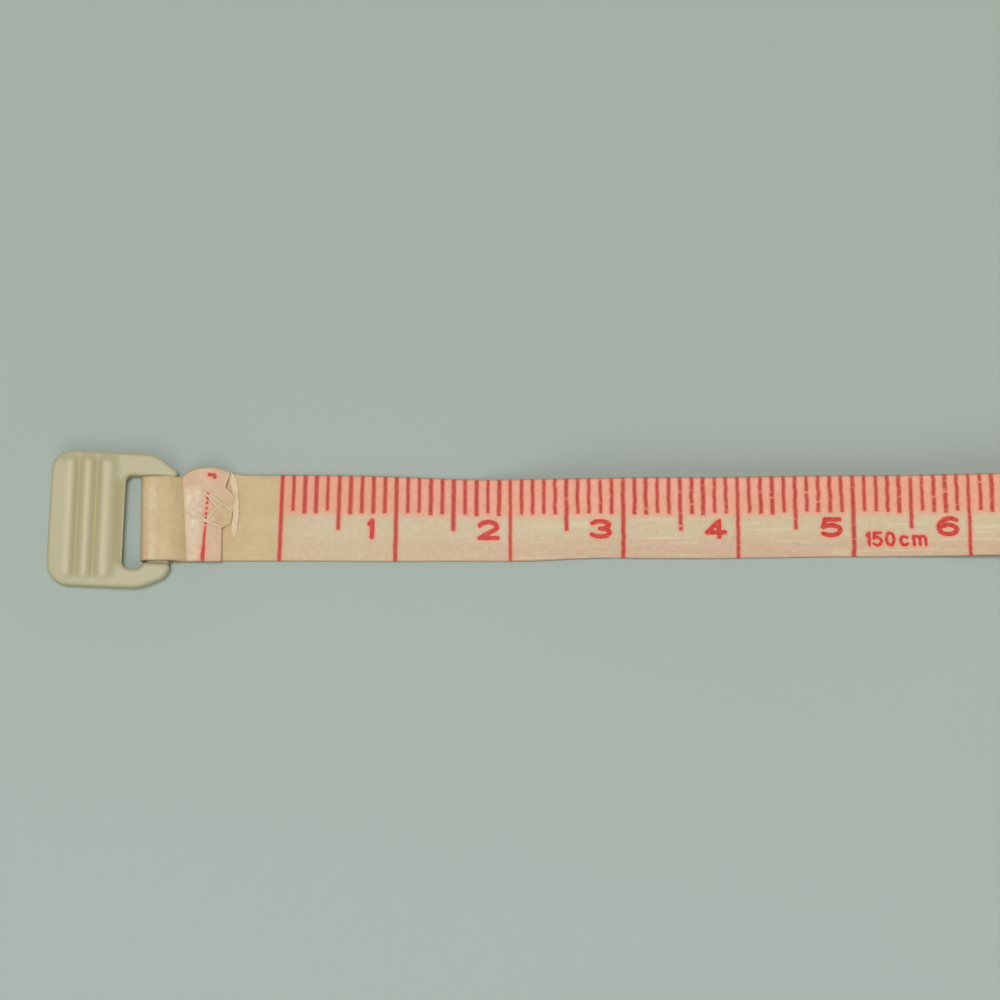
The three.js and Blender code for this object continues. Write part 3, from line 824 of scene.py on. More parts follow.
def distance_to_line(places: np.ndarray, line: Sequence[tuple[float, float]]) -> np.ndarray:
    """Distance in the plane from places to a line of points.

    Args:
        places: The places, one in each row.
        line: Corners of the line.

    Returns:
        The least distance of each place.
    """
    least = np.full(len(places), np.inf)
    corners = np.asarray(line, float)
    for start, end in zip(corners[:-1], corners[1:]):
        step = end - start
        share = np.clip(((places - start) @ step) / max(step @ step, 1e-12), 0, 1)
        least = np.minimum(least, np.linalg.norm(places - start - share[:, None] * step, axis=1))
    return least


@dataclass
class PrintedTape:
    """The drawn-out tape, from the sewn seam over the table and through the mouth to the winding.

    Attributes:
        route: Its side view.
        column: Spacing of the mesh along the printed stretch.
        row: Spacing of the mesh across the numbers.
        bank: How far the lifted stretch leans, its far edge up.
        bank_from: Distance from the zero line where the lean starts.
        bank_full: Distance where it is full.
        cup: How far the edges of the lifted stretch bend down.
        broad: How much broader the slack stretch near the end is.
        swell: How far its far edge stands out beside the sewn end.
        waist: How much narrower it is where it starts to twist.
        sway: How far its middle stands to the near side where it lifts.
        gather: Length that fine puckers take up where it twists.
        anchor: X inside the case up to which the tape stays with the case when it is drawn; not used.
    """

    route: TapeRoute
    column: float = 0.12 * MM
    row: float = 0.1 * MM
    bank: float = math.radians(25)
    bank_from: float = 15 * MM
    bank_full: float = 29 * MM
    cup: float = 0.35 * MM
    broad: float = 0.026
    swell: float = 0.28 * MM
    waist: float = 0.034
    sway: float = 0.36 * MM
    gather: float = 0.23 * MM
    anchor: float = -24 * MM
    piece: bpy.types.Object = field(init=False, default=None)

    def _stations(self) -> np.ndarray:
        """Places of the mesh's columns along X, fine where the numbers are."""
        route = self.route
        lead = np.linspace(route.start, route.zero, 14, endpoint=False)
        scale = np.arange(route.zero, route.mouth - 4 * MM, self.column)
        inside = np.linspace(route.mouth - 4 * MM, route.reel, 26)
        return np.concatenate([lead, scale, inside])

    def _section(self) -> tuple[np.ndarray, np.ndarray]:
        """One closed section: places across the tape from its middle, and heights from its middle.

        Returns:
            The places and the heights.
        """
        half, edge = self.route.width / 2, self.route.thickness / 2
        flat = half - edge
        number_top, number_low = half - 3.4 * MM, half - 6.6 * MM
        top = np.concatenate([np.linspace(flat, number_top, 10, endpoint=False),
                              np.arange(number_top, number_low, -self.row),
                              np.linspace(number_low, -flat, 5)])
        under = np.linspace(-flat, flat, 9)
        turn = np.radians([60, 20, -20, -60])
        near = (-flat - edge * np.cos(turn), edge * np.sin(turn))
        away = (flat + edge * np.cos(turn[::-1]), edge * np.sin(turn[::-1]))
        across = np.concatenate([top, near[0], under, away[0]])
        heights = np.concatenate([np.full(len(top), edge), near[1], np.full(len(under), -edge), away[1]])
        return across, heights

    def lean(self, x: np.ndarray) -> tuple[np.ndarray, np.ndarray]:
        """How the tape leans and cups along its way.

        Args:
            x: Places along the tape.

        Returns:
            The lean in radians and the bend of the edges.
        """
        route = self.route
        amount = ease(x, route.zero + self.bank_from, route.zero + self.bank_full)
        amount = amount * ease(x, route.mouth - 3 * MM, route.mouth - 14 * MM)
        return self.bank * amount, self.cup * amount

    def _drift(self, x: np.ndarray) -> tuple[np.ndarray, np.ndarray]:
        """How the tape drifts to the near side and changes its width along its way.

        Args:
            x: Places along the tape.

        Returns:
            The way to the near side, and the width as a share of the tape's own.
        """
        way = (x - self.route.zero) / MM
        sway = self.sway * ease(way, 0, 28) * (1 - 0.45 * ease(way, 36, 50)) * ease(way, 74, 62)
        spread = 1 + self.broad * ease(way, 20, 8) - self.waist * ease(way, 4, 18) * ease(way, 34, 23)
        return sway, spread

    def build(self) -> bpy.types.Object:
        """Makes the tape's mesh.

        Returns:
            The tape.
        """
        route = self.route
        x = self._stations()
        z = route.height(x)
        slope = np.arctan(np.gradient(z, x))
        bank, cup = self.lean(x)
        z = z + np.maximum(0, route.width / 2 * np.sin(bank) + cup - (z - route.table_height))
        across, heights = self._section()
        half = route.width / 2
        upper = ease(across, 0.3 * half, half)
        sway, spread = self._drift(x)
        rings = []
        for i, place in enumerate(x):
            wide = across * spread[i]
            wide = wide + self.swell * float(ease(place, route.fold + 5.0 * MM, route.fold + 3.3 * MM)) * upper
            lift = heights - cup[i] * (across / half) ** 2
            side = wide * math.cos(bank[i]) - lift * math.sin(bank[i])
            up = lift * math.cos(bank[i]) + wide * math.sin(bank[i])
            rings.append(np.column_stack([place - up * math.sin(slope[i]), side - sway[i],
                                          z[i] + up * math.cos(slope[i])]))
        points, faces = loft(rings, closed=False)
        count = len(across)
        last = (len(rings) - 1) * count
        faces += [tuple(range(count)), tuple(range(last, last + count))]
        self.piece = mesh_piece("printed_tape", points, faces, sharp=60)
        slack = np.concatenate([[0.0], np.cumsum(np.hypot(np.diff(x), np.diff(z)) - np.diff(x))]) / MM
        slack += self.gather / MM * ease(x, route.zero + self.bank_from, route.zero + 40 * MM)
        along = np.repeat((x - route.zero) / MM + slack, count)
        over = np.tile((half - across) / MM, len(x))
        scale = ScalePrint()
        leaning = along - (scale.lean + scale.lean_change * along) * (half / MM - over)
        sign = np.where(np.tile(heights, len(x)) > 0, scale.coverage(leaning, over), 0)
        store(self.piece, "along", along)
        store(self.piece, "across", over)
        store(self.piece, "sign", sign)
        store(self.piece, "slack", np.repeat(slack, count))
        LOG.info("printed_tape: %d faces", len(self.piece.data.polygons))
        return self.piece

    def path(self) -> list[tuple[float, float, float]]:
        """Middle line of the tape, from the winding to the sewn seam."""
        x = np.linspace(self.route.reel, self.route.start, 40)
        return [(a, 0.0, b) for a, b in zip(x, self.route.height(x))]

    def join(self, cloth: bpy.types.Material, on_tape: Sequence[bpy.types.Object]) -> None:
        """Args:
            cloth: Its finish.
            on_tape: The separate pieces at its end; not used.
        """
        dress(self.piece, cloth)
        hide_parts("tape_run")
        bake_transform(self.piece)
        path = self.path()


@dataclass
class SewnEnd:
    """The tape's end: folded round the tab's bar, laid back on the tape and sewn down.

    Sizes along X are from the fold and those across from the tape's middle.

    Attributes:
        route: The tape.
        wall: Thickness of the cloth.
        grid: Spacing of the mesh.
        bend: Middle of the bend round the bar.
        low: Height of the cloth's middle under the bar.
        high: Height of the cloth's middle over the bar.
        rest: Height of the cloth's middle where it lies on the tape.
        slope_from: Share of the way from the bend to the crease where the cloth starts to fall.
        crease: X of the crease at the middle.
        crease_slant: Change of that along Y.
        flap_half: Half the flap's width.
        flap_middle: Y of its middle.
        fold_half: Half the width of the cloth round the bar.
        fold_middle: Y of its middle.
        cut: X of the cut end on the near side.
        cut_slant: How much further it reaches on the far side.
        tongue: How much further it reaches at the middle.
        thread: Radius of the sewing thread.
        fray: Radius of the loose threads.
        fray_count: How many there are.
        fray_width: Of the strip that they make.
    """

    route: TapeRoute
    wall: float = 0.28 * MM
    grid: float = 0.06 * MM
    bend: float = -3.2 * MM
    low: float = 0.2 * MM
    high: float = 1.6 * MM
    rest: float = 0.64 * MM
    slope_from: float = 0.5
    crease: float = -0.3 * MM
    crease_slant: float = -0.053
    flap_half: float = 3.8 * MM
    flap_middle: float = -0.09 * MM
    fold_half: float = 3.69 * MM
    fold_middle: float = -0.19 * MM
    cut: float = 2.95 * MM
    cut_slant: float = 0.35 * MM
    tongue: float = 0.75 * MM
    thread: float = 0.085 * MM
    fray: float = 0.045 * MM
    fray_count: int = 15
    fray_width: float = 0.45 * MM
    sheet: bpy.types.Object = field(init=False, default=None)
    pieces: list[bpy.types.Object] = field(init=False, default_factory=list)

    def stitches(self) -> list[list[tuple[float, float]]]:
        """Corners of the sewing thread's lines, in millimetres from the fold and the tape's middle."""
        diamond = [(1.54, 2.13), (0.58, 0.74), (1.62, -0.3), (2.58, 0.91), (1.54, 2.13)]
        lines = [[one, two] for one, two in zip(diamond[:-1], diamond[1:])]
        lines.append([(-0.12, 0.39), (1.62, -0.39)])
        lines.append([(1.62, -0.39), (3.01, -0.83)])
        lines.append([(1.8, 1.96), (3.75, 0.72)])
        return lines

    def _bulge(self, x: np.ndarray) -> np.ndarray:
        """How far the flap's far edge stands out past the tape."""
        return 0.64 * MM * np.sin(math.pi * np.clip((x / MM + 0.6) / 4.8, 0, 1)) ** 0.9

    def _flap_height(self, x: np.ndarray, y: np.ndarray) -> np.ndarray:
        """Height of the flap's middle: puffed between the stitches and lifted at its far edge.

        Args:
            x: Places from the fold.
            y: Places from the tape's middle.

        Returns:
            The heights.
        """
        places = np.column_stack([np.ravel(x), np.ravel(y)]) / MM
        pull = np.full(len(places), np.inf)
        for line in self.stitches():
            pull = np.minimum(pull, distance_to_line(places, line))
        dip = 0.10 * MM * np.exp(-((pull / 0.24) ** 2)).reshape(np.shape(x))
        puff = 0.16 * MM * ease(x, self.crease, 0.9 * MM) * ease(x, 3.3 * MM, 2.2 * MM)
        lumps = 0.03 * MM * np.sin(x / MM * 3.7 + 1.3 * np.sin(y / MM * 2.1)) * np.sin(y / MM * 2.9 + 0.6)
        wrinkle = np.sin(x / MM * 5.1 + y / MM * 8.3 + 1.7 * np.sin(x / MM * 2.9)) * np.sin(y / MM * 1.3 - x / MM)
        lumps = lumps + 0.014 * MM * wrinkle
        arch = 0.42 * self._bulge(x) * ease(y, 1.4 * MM, 3.6 * MM)
        line = 0.05 * MM * np.exp(-(((y - 2.75 * MM) / (0.12 * MM)) ** 2)) * ease(x, 1.8 * MM, 1.2 * MM)
        press = 0.16 * MM * ease(x, 2.2 * MM, 3.1 * MM) * ease(np.abs(y - 0.35 * MM), 1.4 * MM, 0.9 * MM)
        corner = 0.14 * MM * ease(x, 2.2 * MM, 3.0 * MM) * ease(y, -2.8 * MM, -3.7 * MM)
        return self.rest + puff + lumps + arch + corner - dip - line - press

    def _across(self, x: np.ndarray, share: np.ndarray) -> np.ndarray:
        """Y of places on the cloth.

        Args:
            x: Places from the fold.
            share: Places across the cloth, -1 at the near edge and 1 at the far edge.

        Returns:
            The places along Y.
        """
        laid = ease(x, -0.9 * MM, 0.5 * MM)
        middle = self.fold_middle + (self.flap_middle - self.fold_middle) * laid
        return middle + (self.fold_half + (self.flap_half - self.fold_half) * laid) * share

    def _columns(self) -> list[np.ndarray]:
        """Columns of the sheet, from under the bar, round it and over it to the cut end."""
        place = np.linspace(1, -1, round(self.route.width / self.grid) + 1)
        y = self._across(self.cut, place)
        flat, upper = np.ones(len(y)), ease(place, 0.22, 1)
        radius, middle = (self.high - self.low) / 2, (self.high + self.low) / 2
        crease = self.crease + self.crease_slant * y
        cut = self.cut + self.cut_slant * ease(y, -1 * MM, 1.5 * MM) + 0.4 * MM * ease(place, 0.65, 1)
        cut = cut + self.tongue * ease(y, -1.0 * MM, -0.5 * MM) * ease(y, 2.4 * MM, 1.8 * MM)
        columns = []
        for x in np.linspace(self.route.seam_gap, self.bend, 8, endpoint=False):
            columns.append(np.column_stack([x * flat, self._across(x, place), self.low * flat]))
        for angle in np.linspace(1.5 * math.pi, 0.5 * math.pi, 16, endpoint=False):
            x, z = self.bend + radius * math.cos(angle), middle + radius * math.sin(angle)
            columns.append(np.column_stack([x * flat, self._across(x, place), z * flat]))
        fall = self._flap_height(crease, y)
        for share in np.linspace(0, 1, 36, endpoint=False):
            drop = max(0.0, (share - self.slope_from) / (1 - self.slope_from)) ** 1.6
            x = self.bend + (crease - self.bend) * share
            side = self._across(x, place) + self._bulge(x) * upper
            columns.append(np.column_stack([x, side, self.high + (fall - self.high) * drop]))
        for share in np.linspace(0, 1, 56):
            x = crease + (cut - crease) * share
            side = self._across(x, place)
            columns.append(np.column_stack([x, side + self._bulge(x) * upper, self._flap_height(x, side)]))
        return columns

    def _marks(self, x: np.ndarray, y: np.ndarray) -> np.ndarray:
        """Red marks on the flap: a line that is dotted at first, and a short bar at the far edge.

        Args:
            x: Places from the fold, in millimetres.
            y: Places from the tape's middle, in millimetres.

        Returns:
            1 at a mark's edge, more inside it and down to 0 where the bleed ends.
        """
        spread, pitch, first, solid_from = ScalePrint().spread, 0.44, 2.1, -0.85
        places = np.column_stack([x, y])
        line = distance_to_line(places, [(1.74, first), (1.58, -0.6), (1.3, -4.0)])
        wide = 0.1 + 0.08 * ease(y, -1.4, -3.6)
        step = (y - first + pitch / 2) % pitch - pitch / 2
        dots = np.where(y > first + pitch / 2, spread, np.hypot(line, 0.7 * step))
        solid = np.where(y < solid_from, line - wide, spread)
        blush = 0.92 * ease(line, 0.85, 0.2) * ease(y, -1.0, -2.8)
        bar = distance_to_line(places, [(1.88, 3.68), (2.25, 3.66), (2.32, 3.5)])
        found = 1 - np.minimum(np.minimum(dots - 0.11, solid), bar - 0.17) / spread
        return np.clip(np.maximum(found, blush), 0, 2)

    def build(self, cloth: bpy.types.Material, sewing: bpy.types.Material,
              loose: bpy.types.Material) -> list[bpy.types.Object]:
        """Makes the folded cloth, the stitches and the loose threads.

        Args:
            cloth: Finish of the cloth.
            sewing: Finish of the thread.
            loose: Finish of the frayed threads.

        Returns:
            The three pieces.
        """
        columns = self._columns()
        rows = len(columns[0])
        points = np.vstack(columns)
        faces = [(i, i + 1, i + rows + 1, i + rows) for k in range(len(columns) - 1)
                 for i in range(k * rows, (k + 1) * rows - 1)]
        self.sheet = mesh_piece("sewn_end", points + (self.route.fold, 0, 0), faces, sharp=60)
        local = points / MM
        number = np.repeat(np.arange(len(columns)), rows)
        crease = (self.crease + self.crease_slant * points[:, 1]) / MM
        on_top = number >= 24
        bare = ease(local[:, 0], 1.9, 2.5) * ease(np.abs(local[:, 1] - 0.45), 1.7, 1.0)
        flap = ease(local[:, 0] - crease, -0.12, 0.12) * on_top * (1 - 0.8 * bare)
        marks = np.where(on_top, self._marks(local[:, 0], local[:, 1]), 0)
        # Painted highlight spots on the flap.
        painted_spot = np.hypot((local[:, 0] - 0.45) / 0.36, (local[:, 1] + 0.6) / 0.8)
        painted_spot = np.minimum(painted_spot, np.hypot((local[:, 0] - 0.12) / 0.3, (local[:, 1] - 1.9) / 0.55))
        store(self.sheet, "along", np.full(len(points), -20))
        share = np.tile(np.linspace(0, 1, rows), len(columns))
        store(self.sheet, "across", share * self.route.width / MM)
        store(self.sheet, "sign", marks)
        store(self.sheet, "flap", flap)
        # Painted sheen: pale strokes on the bend round the bar.
        strokes = 0.5 + 0.5 * np.sin(2.9 * local[:, 1] + 2.2 * np.sin(1.7 * local[:, 1] + 3 * local[:, 0]))
        sheen = 0.36 * ease(np.abs(local[:, 0] + 3.0), 0.55, 0.1) * (0.4 + 0.6 * strokes)
        # Paler left part of the flap: partly the cloth's own pale tone, partly painted highlight.
        left = ease(local[:, 0] - crease, 0.0, 0.35) * ease(local[:, 0], 1.5, 0.9) * ease(local[:, 1], 3.0, 2.1)
        # The painted highlights, the painted sheen and the pale patches together make the glint mark.
        glint = np.maximum(np.maximum(0.95 * ease(painted_spot, 1.0, 0.3), sheen), 0.5 * left)
        store(self.sheet, "glint", glint * on_top)
        thick = self.sheet.modifiers.new("thickness", "SOLIDIFY")
        thick.thickness = self.wall
        thick.offset = 0
        bake(self.sheet)
        dress(self.sheet, cloth)
        self.pieces = [self.sheet, self._sew(sewing), self._loose_threads(loose)]
        LOG.info("sewn_end: %d pieces", len(self.pieces))
        return self.pieces

    def _wire(self, name: str, lines: Sequence[np.ndarray]) -> bpy.types.Object:
        """An object that holds lines of points as edges."""
        points, edges = [], []
        for line in lines:
            first = len(points)
            points += [tuple(map(float, p)) for p in line]
            edges += [(i, i + 1) for i in range(first, len(points) - 1)]
        mesh = bpy.data.meshes.new(name)
        mesh.from_pydata(points, edges, [])
        piece = bpy.data.objects.new(name, mesh)
        bpy.context.scene.collection.objects.link(piece)
        return piece

    def _on_flap(self, line: Sequence[tuple[float, float]], count: int, above: np.ndarray) -> np.ndarray:
        """Points along a straight line on top of the flap.

        Args:
            line: Its two ends, in millimetres.
            count: How many points there are.
            above: Height of each point over the cloth.

        Returns:
            The points in the row frame.
        """
        share = np.linspace(0, 1, count)[:, None]
        plan = (np.array(line[0]) * (1 - share) + np.array(line[1]) * share) * MM
        z = self._flap_height(plan[:, 0], plan[:, 1]) + self.wall / 2 + above
        return np.column_stack([self.route.fold + plan[:, 0], plan[:, 1], z])

    def _sew(self, sewing: bpy.types.Material) -> bpy.types.Object:
        """The stitches, as thread drawn along lines whose ends dip into the cloth."""
        count = 13
        arch = np.sin(np.linspace(0, math.pi, count)) ** 0.5
        above = self.thread * (1.5 * arch - 0.7)
        piece = self._wire("stitches", [self._on_flap(line, count, above) for line in self.stitches()])
        tree = Growth("thread_along_lines")
        profile = tree.add("GeometryNodeCurvePrimitiveCircle", Resolution=tree.size("Sides", 10),
                           Radius=tree.size("Radius", self.thread))
        curve = tree.add("GeometryNodeMeshToCurve", Mesh=tree.start.outputs["Geometry"])
        tube = tree.add("GeometryNodeCurveToMesh", Curve=curve.outputs[0],
                        Profile_Curve=profile.outputs["Curve"], Fill_Caps=True)
        return dress(tree.grow(piece, tube.outputs[0], sewing), sewing)

    def _loose_threads(self, loose: bpy.types.Material) -> bpy.types.Object:
        """The frayed strip along the cut end, as wavy copies of one line."""
        y = np.linspace(4.05, -1.7, 30)
        x = np.interp(y, [-1.7, -0.9, 0.0, 1.0, 2.8, 3.5, 4.05], [4.02, 4.1, 4.2, 4.22, 4.08, 3.92, 3.7])
        z = 0.41 + 0.1 * ease(y, 2.4, 3.6) + 0.12 * ease(y, -1.1, -0.6) * ease(y, 2.4, 1.9)
        line = np.column_stack([self.route.fold + x * MM, y * MM, z * MM])
        piece = self._wire("loose_threads", [line])
        tree = Growth("frayed_copies")
        count = tree.size("Count", self.fray_count)
        width = tree.size("Width", self.fray_width)
        sway = tree.size("Sway", 0.15 * MM)
        rounding = tree.size("End rounding", 0.5 * MM)
        profile = tree.add("GeometryNodeCurvePrimitiveCircle", Resolution=tree.size("Sides", 7),
                           Radius=tree.size("Radius", self.fray))
        curve = tree.add("GeometryNodeMeshToCurve", Mesh=tree.start.outputs["Geometry"])
        copies = tree.add("GeometryNodeDuplicateElements", {"domain": "SPLINE"},
                          Geometry=curve.outputs[0], Amount=count)
        number = copies.outputs["Duplicate Index"]
        share = tree.math("SUBTRACT", tree.math("DIVIDE", number, count), 0.5)
        factor = tree.add("GeometryNodeSplineParameter").outputs["Factor"]
        noise = tree.add("ShaderNodeTexNoise", {"noise_dimensions": "2D"}, Scale=3.0, Detail=1.0,
                         Vector=tree.vector(factor, tree.math("MULTIPLY", number, 5.3), 0.0))
        swing = tree.math("MULTIPLY", tree.math("SUBTRACT", noise.outputs[0], 0.5), sway)
        side = tree.math("ADD", tree.math("MULTIPLY", share, width), swing)
        lift = tree.math("MULTIPLY", tree.math("ABSOLUTE", swing), 0.8)
        inset = tree.math("MULTIPLY", tree.math("POWER", tree.math("ABSOLUTE", share), 2.0), 4.0)
        last = tree.math("POWER", factor, 6.0)
        first = tree.math("POWER", tree.math("SUBTRACT", 1.0, factor), 6.0)
        ends = tree.math("MULTIPLY", tree.math("SUBTRACT", last, first), rounding)
        drawn = tree.math("ADD", tree.math("MULTIPLY", swing, 0.5), tree.math("MULTIPLY", inset, ends))
        moved = tree.add("GeometryNodeSetPosition", Geometry=copies.outputs[0],
                         Offset=tree.vector(side, drawn, lift))
        tube = tree.add("GeometryNodeCurveToMesh", Curve=moved.outputs[0],
                        Profile_Curve=profile.outputs["Curve"], Fill_Caps=True)
        return dress(tree.grow(piece, tube.outputs[0], loose), loose)

    def join(self) -> None:
        """Bakes the cloth in place and ties the threads to the tape's end."""
        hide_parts("tape_flap", "tape_loop")
        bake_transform(self.sheet)
        for piece in self.pieces[1:]:
            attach(piece, Body.TAPE_END.value)


def rounded_outline(corners: Sequence[tuple[float, float, float]], steps: int = 8) -> tuple[np.ndarray, np.ndarray]:
    """A closed outline with rounded corners.

    Args:
        corners: Corners, counter-clockwise, each with its radius.
        steps: How many points each rounding has, less one.

    Returns:
        The points and the outward normals.
    """
    points, normals = [], []
    places = [np.array(c[:2], float) for c in corners]
    for i, (x, y, radius) in enumerate(corners):
        come = places[i] - places[i - 1]
        go = places[(i + 1) % len(places)] - places[i]
        first, last = math.atan2(come[1], come[0]), math.atan2(go[1], go[0])
        turn = (last - first + math.pi) % (2 * math.pi) - math.pi
        side = math.copysign(1.0, turn)
        start = places[i] - come / np.linalg.norm(come) * radius * math.tan(abs(turn) / 2)
        out = np.array([math.sin(first), -math.cos(first)])
        middle = start - side * radius * out
        for share in np.linspace(0, 1, steps + 1):
            angle = first + turn * share
            normal = np.array([math.sin(angle), -math.cos(angle)])
            points.append(middle + side * radius * normal)
            normals.append(normal)
    return np.array(points), np.array(normals)


def hull_outline(circles: Sequence[tuple[float, float, float]], step: float) -> tuple[np.ndarray, np.ndarray]:
    """The outline of a band drawn tight round circles.

    Args:
        circles: Centres and radii, counter-clockwise.
        step: Greatest angle between two points of an arc, in radians.

    Returns:
        The points and the outward normals.
    """
    angles = []
    for (x, z, radius), (far_x, far_z, far_radius) in zip(circles, [*circles[1:], circles[0]]):
        way = math.atan2(far_z - z, far_x - x)
        angles.append(way - math.acos((radius - far_radius) / math.hypot(far_x - x, far_z - z)))
    points, normals = [], []
    for i, (x, z, radius) in enumerate(circles):
        start = angles[i - 1]
        turn = (angles[i] - start) % (2 * math.pi)
        for angle in start + np.linspace(0, turn, max(2, math.ceil(turn / step) + 1)):
            normal = (math.cos(angle), math.sin(angle))
            points.append((x + radius * normal[0], z + radius * normal[1]))
            normals.append(normal)
    return np.array(points), np.array(normals)


@dataclass
class PullTab:
    """The ribbed tab with its slot and the bar that the tape is folded round.

    Sizes along X are from the fold, in millimetres.

    Attributes:
        route: The tape.
        corners: Corners of its outline with their radii, counter-clockwise.
        rounding: Of its upper edges.
        under: Rounding of its lower edges.
        ridges: Places of the ridges.
        ridge_half: Half the width of a ridge.
        flank: Width of the last ridge's long flank.
        ridge_end: Distance from the middle where the ridges end.
        ridge_fade: Length over which they run out.
        ridge_height: Of the ridges over the grooves.
        bar_from: Left side of the bar.
        bar_to: Right side of the bar.
        yaw: How far the tab is turned.
    """

    route: TapeRoute
    corners: tuple = ((-12.0, -6.1, 1.9), (-3.9, -6.18, 4.0), (-1.75, -5.2, 1.2), (-1.1, -4.0, 0.36),
                      (-3.5, -3.97, 0.45), (-4.1, -4.55, 0.3), (-5.5, -4.55, 0.75), (-5.45, 3.64, 0.65),
                      (-0.25, 3.56, 0.36), (-2.95, 5.54, 2.5), (-11.9, 5.68, 1.8))
    rounding: float = 0.34
    under: float = 0.25
    ridges: tuple = (-10.27, -8.73, -7.15)
    ridge_half: float = 0.775
    flank: float = 1.3
    ridge_end: float = 5.75
    ridge_fade: float = 1.0
    ridge_height: float = 0.26
    bar_from: float = -3.4
    bar_to: float = -1.4
    yaw: float = math.radians(-2.0)
    piece: bpy.types.Object = field(init=False, default=None)

    def _blank(self, low: float, top: float) -> bpy.types.Object:
        """The tab without ridges and bar.

        Args:
            low: Height of its underside.
            top: Height of its top.

        Returns:
            A closed solid, in millimetres from the fold.
        """
        outline, normals = rounded_outline(self.corners)
        turns = np.radians(np.linspace(0, 90, 7))
        profile = [(self.under * (1 - math.sin(t)), low + self.under * (1 - math.cos(t))) for t in turns]
        profile += [(self.rounding * (1 - math.cos(t)), top - self.rounding * (1 - math.sin(t))) for t in turns]
        rings = [np.column_stack([outline - inset * normals, np.full(len(outline), z)]) for inset, z in profile]
        points, faces = loft(rings, closed=False)
        shape = bmesh.new()
        corners = [shape.verts.new(p) for p in points]
        for face in faces:
            shape.faces.new([corners[i] for i in face])
        count = len(outline)
        for first in (0, len(points) - count):
            ring = corners[first:first + count]
            edges = [shape.edges.get((ring[i], ring[(i + 1) % count])) for i in range(count)]
            bmesh.ops.triangle_fill(shape, use_beauty=True, edges=edges)
        mesh = bpy.data.meshes.new("tab_blank")
        shape.to_mesh(mesh)
        shape.free()
        return settle_mesh("ribbed_tab", mesh, 35)

    def _bar(self, low: float, high: float) -> bpy.types.Object:
        """The rounded bar between the arms, in millimetres from the fold."""
        turns = np.linspace(0, 2 * math.pi, 28, endpoint=False)
        wide, tall = (self.bar_to - self.bar_from) / 2, (high - low) / 2
        middle = ((self.bar_to + self.bar_from) / 2, (high + low) / 2)
        x = np.sign(np.cos(turns)) * np.abs(np.cos(turns)) ** 0.6
        z = np.sign(np.sin(turns)) * np.abs(np.sin(turns)) ** 0.6
        rings = []
        for y, flare in ((-4.5, 0.36), (-4.2, 0.36), (-4.05, 0.28), (-3.95, 0.05), (-3.8, 0.0),
                         (3.4, 0.0), (3.55, 0.05), (3.62, 0.28), (3.72, 0.36), (4.0, 0.36)):
            ring = (middle[0] - flare / 2 + (wide + flare / 2) * x, np.full(len(x), y), middle[1] + (tall + flare) * z)
            rings.append(np.column_stack(ring))
        points, faces = loft(rings, closed=False)
        last = len(points) - len(x)
        faces += [tuple(range(len(x))), tuple(range(last, last + len(x)))]
        return mesh_piece("tab_bar", points, faces)

    def _ridge(self, x: np.ndarray, y: np.ndarray) -> np.ndarray:
        """Height share of the ridges, 0 in a groove and 1 on a ridge.

        Args:
            x: Places along X.
            y: Places along Y.

        Returns:
            The shares, which run out at the ridges' ends and fall slowly left of the first ridge.
        """
        height = 1 - 0.5 * ease(x, self.ridges[0], self.corners[0][0])
        height = np.where(x < self.ridges[0], height, 0.0)
        for place in self.ridges:
            away = np.clip(np.abs(x - place) / self.ridge_half, 0, 1)
            height = np.maximum(height, (0.5 + 0.5 * np.cos(math.pi * away)) ** 0.8)
        last = self.ridges[-1]
        height = np.where(x > last, ease(x, last + self.flank, last), height)
        return height * ease(np.abs(y + 0.2), self.ridge_end, self.ridge_end - self.ridge_fade)

    def build(self) -> bpy.types.Object:
        """Makes the tab.

        Returns:
            The tab.
        """
        low, high = (corner.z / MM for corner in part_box("pull_tab"))
        top = high - self.ridge_height
        self.piece = self._blank(low, top)
        carve(self.piece, [self._bar(low + 0.5, low + 1.3)], Change.ADD)
        shape = bmesh.new()
        shape.from_mesh(self.piece.data)
        cuts = [((x, 0, 0), (1, 0, 0)) for x in np.arange(self.ridges[0] - 1.3, -4.9, 0.08)]
        cuts += [((0, y, 0), (0, 1, 0)) for side in (-1, 1) for y in side * np.arange(2.2, 6.0, 0.15)]
        for place, normal in cuts:
            whole = shape.verts[:] + shape.edges[:] + shape.faces[:]
            bmesh.ops.bisect_plane(shape, geom=whole, plane_co=place, plane_no=normal, dist=1e-4)
        shape.to_mesh(self.piece.data)
        shape.free()
        mesh = self.piece.data
        points = np.empty(3 * len(mesh.vertices), np.float32)
        mesh.vertices.foreach_get("co", points)
        points = points.reshape(-1, 3).astype(float)
        share = self._ridge(points[:, 0], points[:, 1])
        upper = ease(points[:, 2], top - self.rounding, top)
        in_grip = ease(points[:, 0], self.ridges[0] - 0.5, self.ridges[0]) * ease(points[:, 0], -5.7, -6.6)
        in_grip = in_grip * ease(np.abs(points[:, 1] + 0.2), self.ridge_end, self.ridge_end - self.ridge_fade)
        fall = 0.38 * ease(points[:, 0], -6.4, -5.45) * ease(np.abs(points[:, 1] + 0.45), 4.15, 2.9)
        fall = fall * ease(points[:, 0], -5.0, -5.2)
        points[:, 2] += (self.ridge_height * share - fall) * upper
        centre = np.array([-6.3, 0.0])
        turn = np.array([[math.cos(self.yaw), -math.sin(self.yaw)], [math.sin(self.yaw), math.cos(self.yaw)]])
        points[:, :2] = (points[:, :2] - centre) @ turn.T + centre
        placed = points * MM + (self.route.fold, 0, 0)
        mesh.vertices.foreach_set("co", placed.ravel().astype(np.float32))
        mesh.update()
        mesh.shade_smooth()
        mesh.set_sharp_from_angle(angle=math.radians(50))
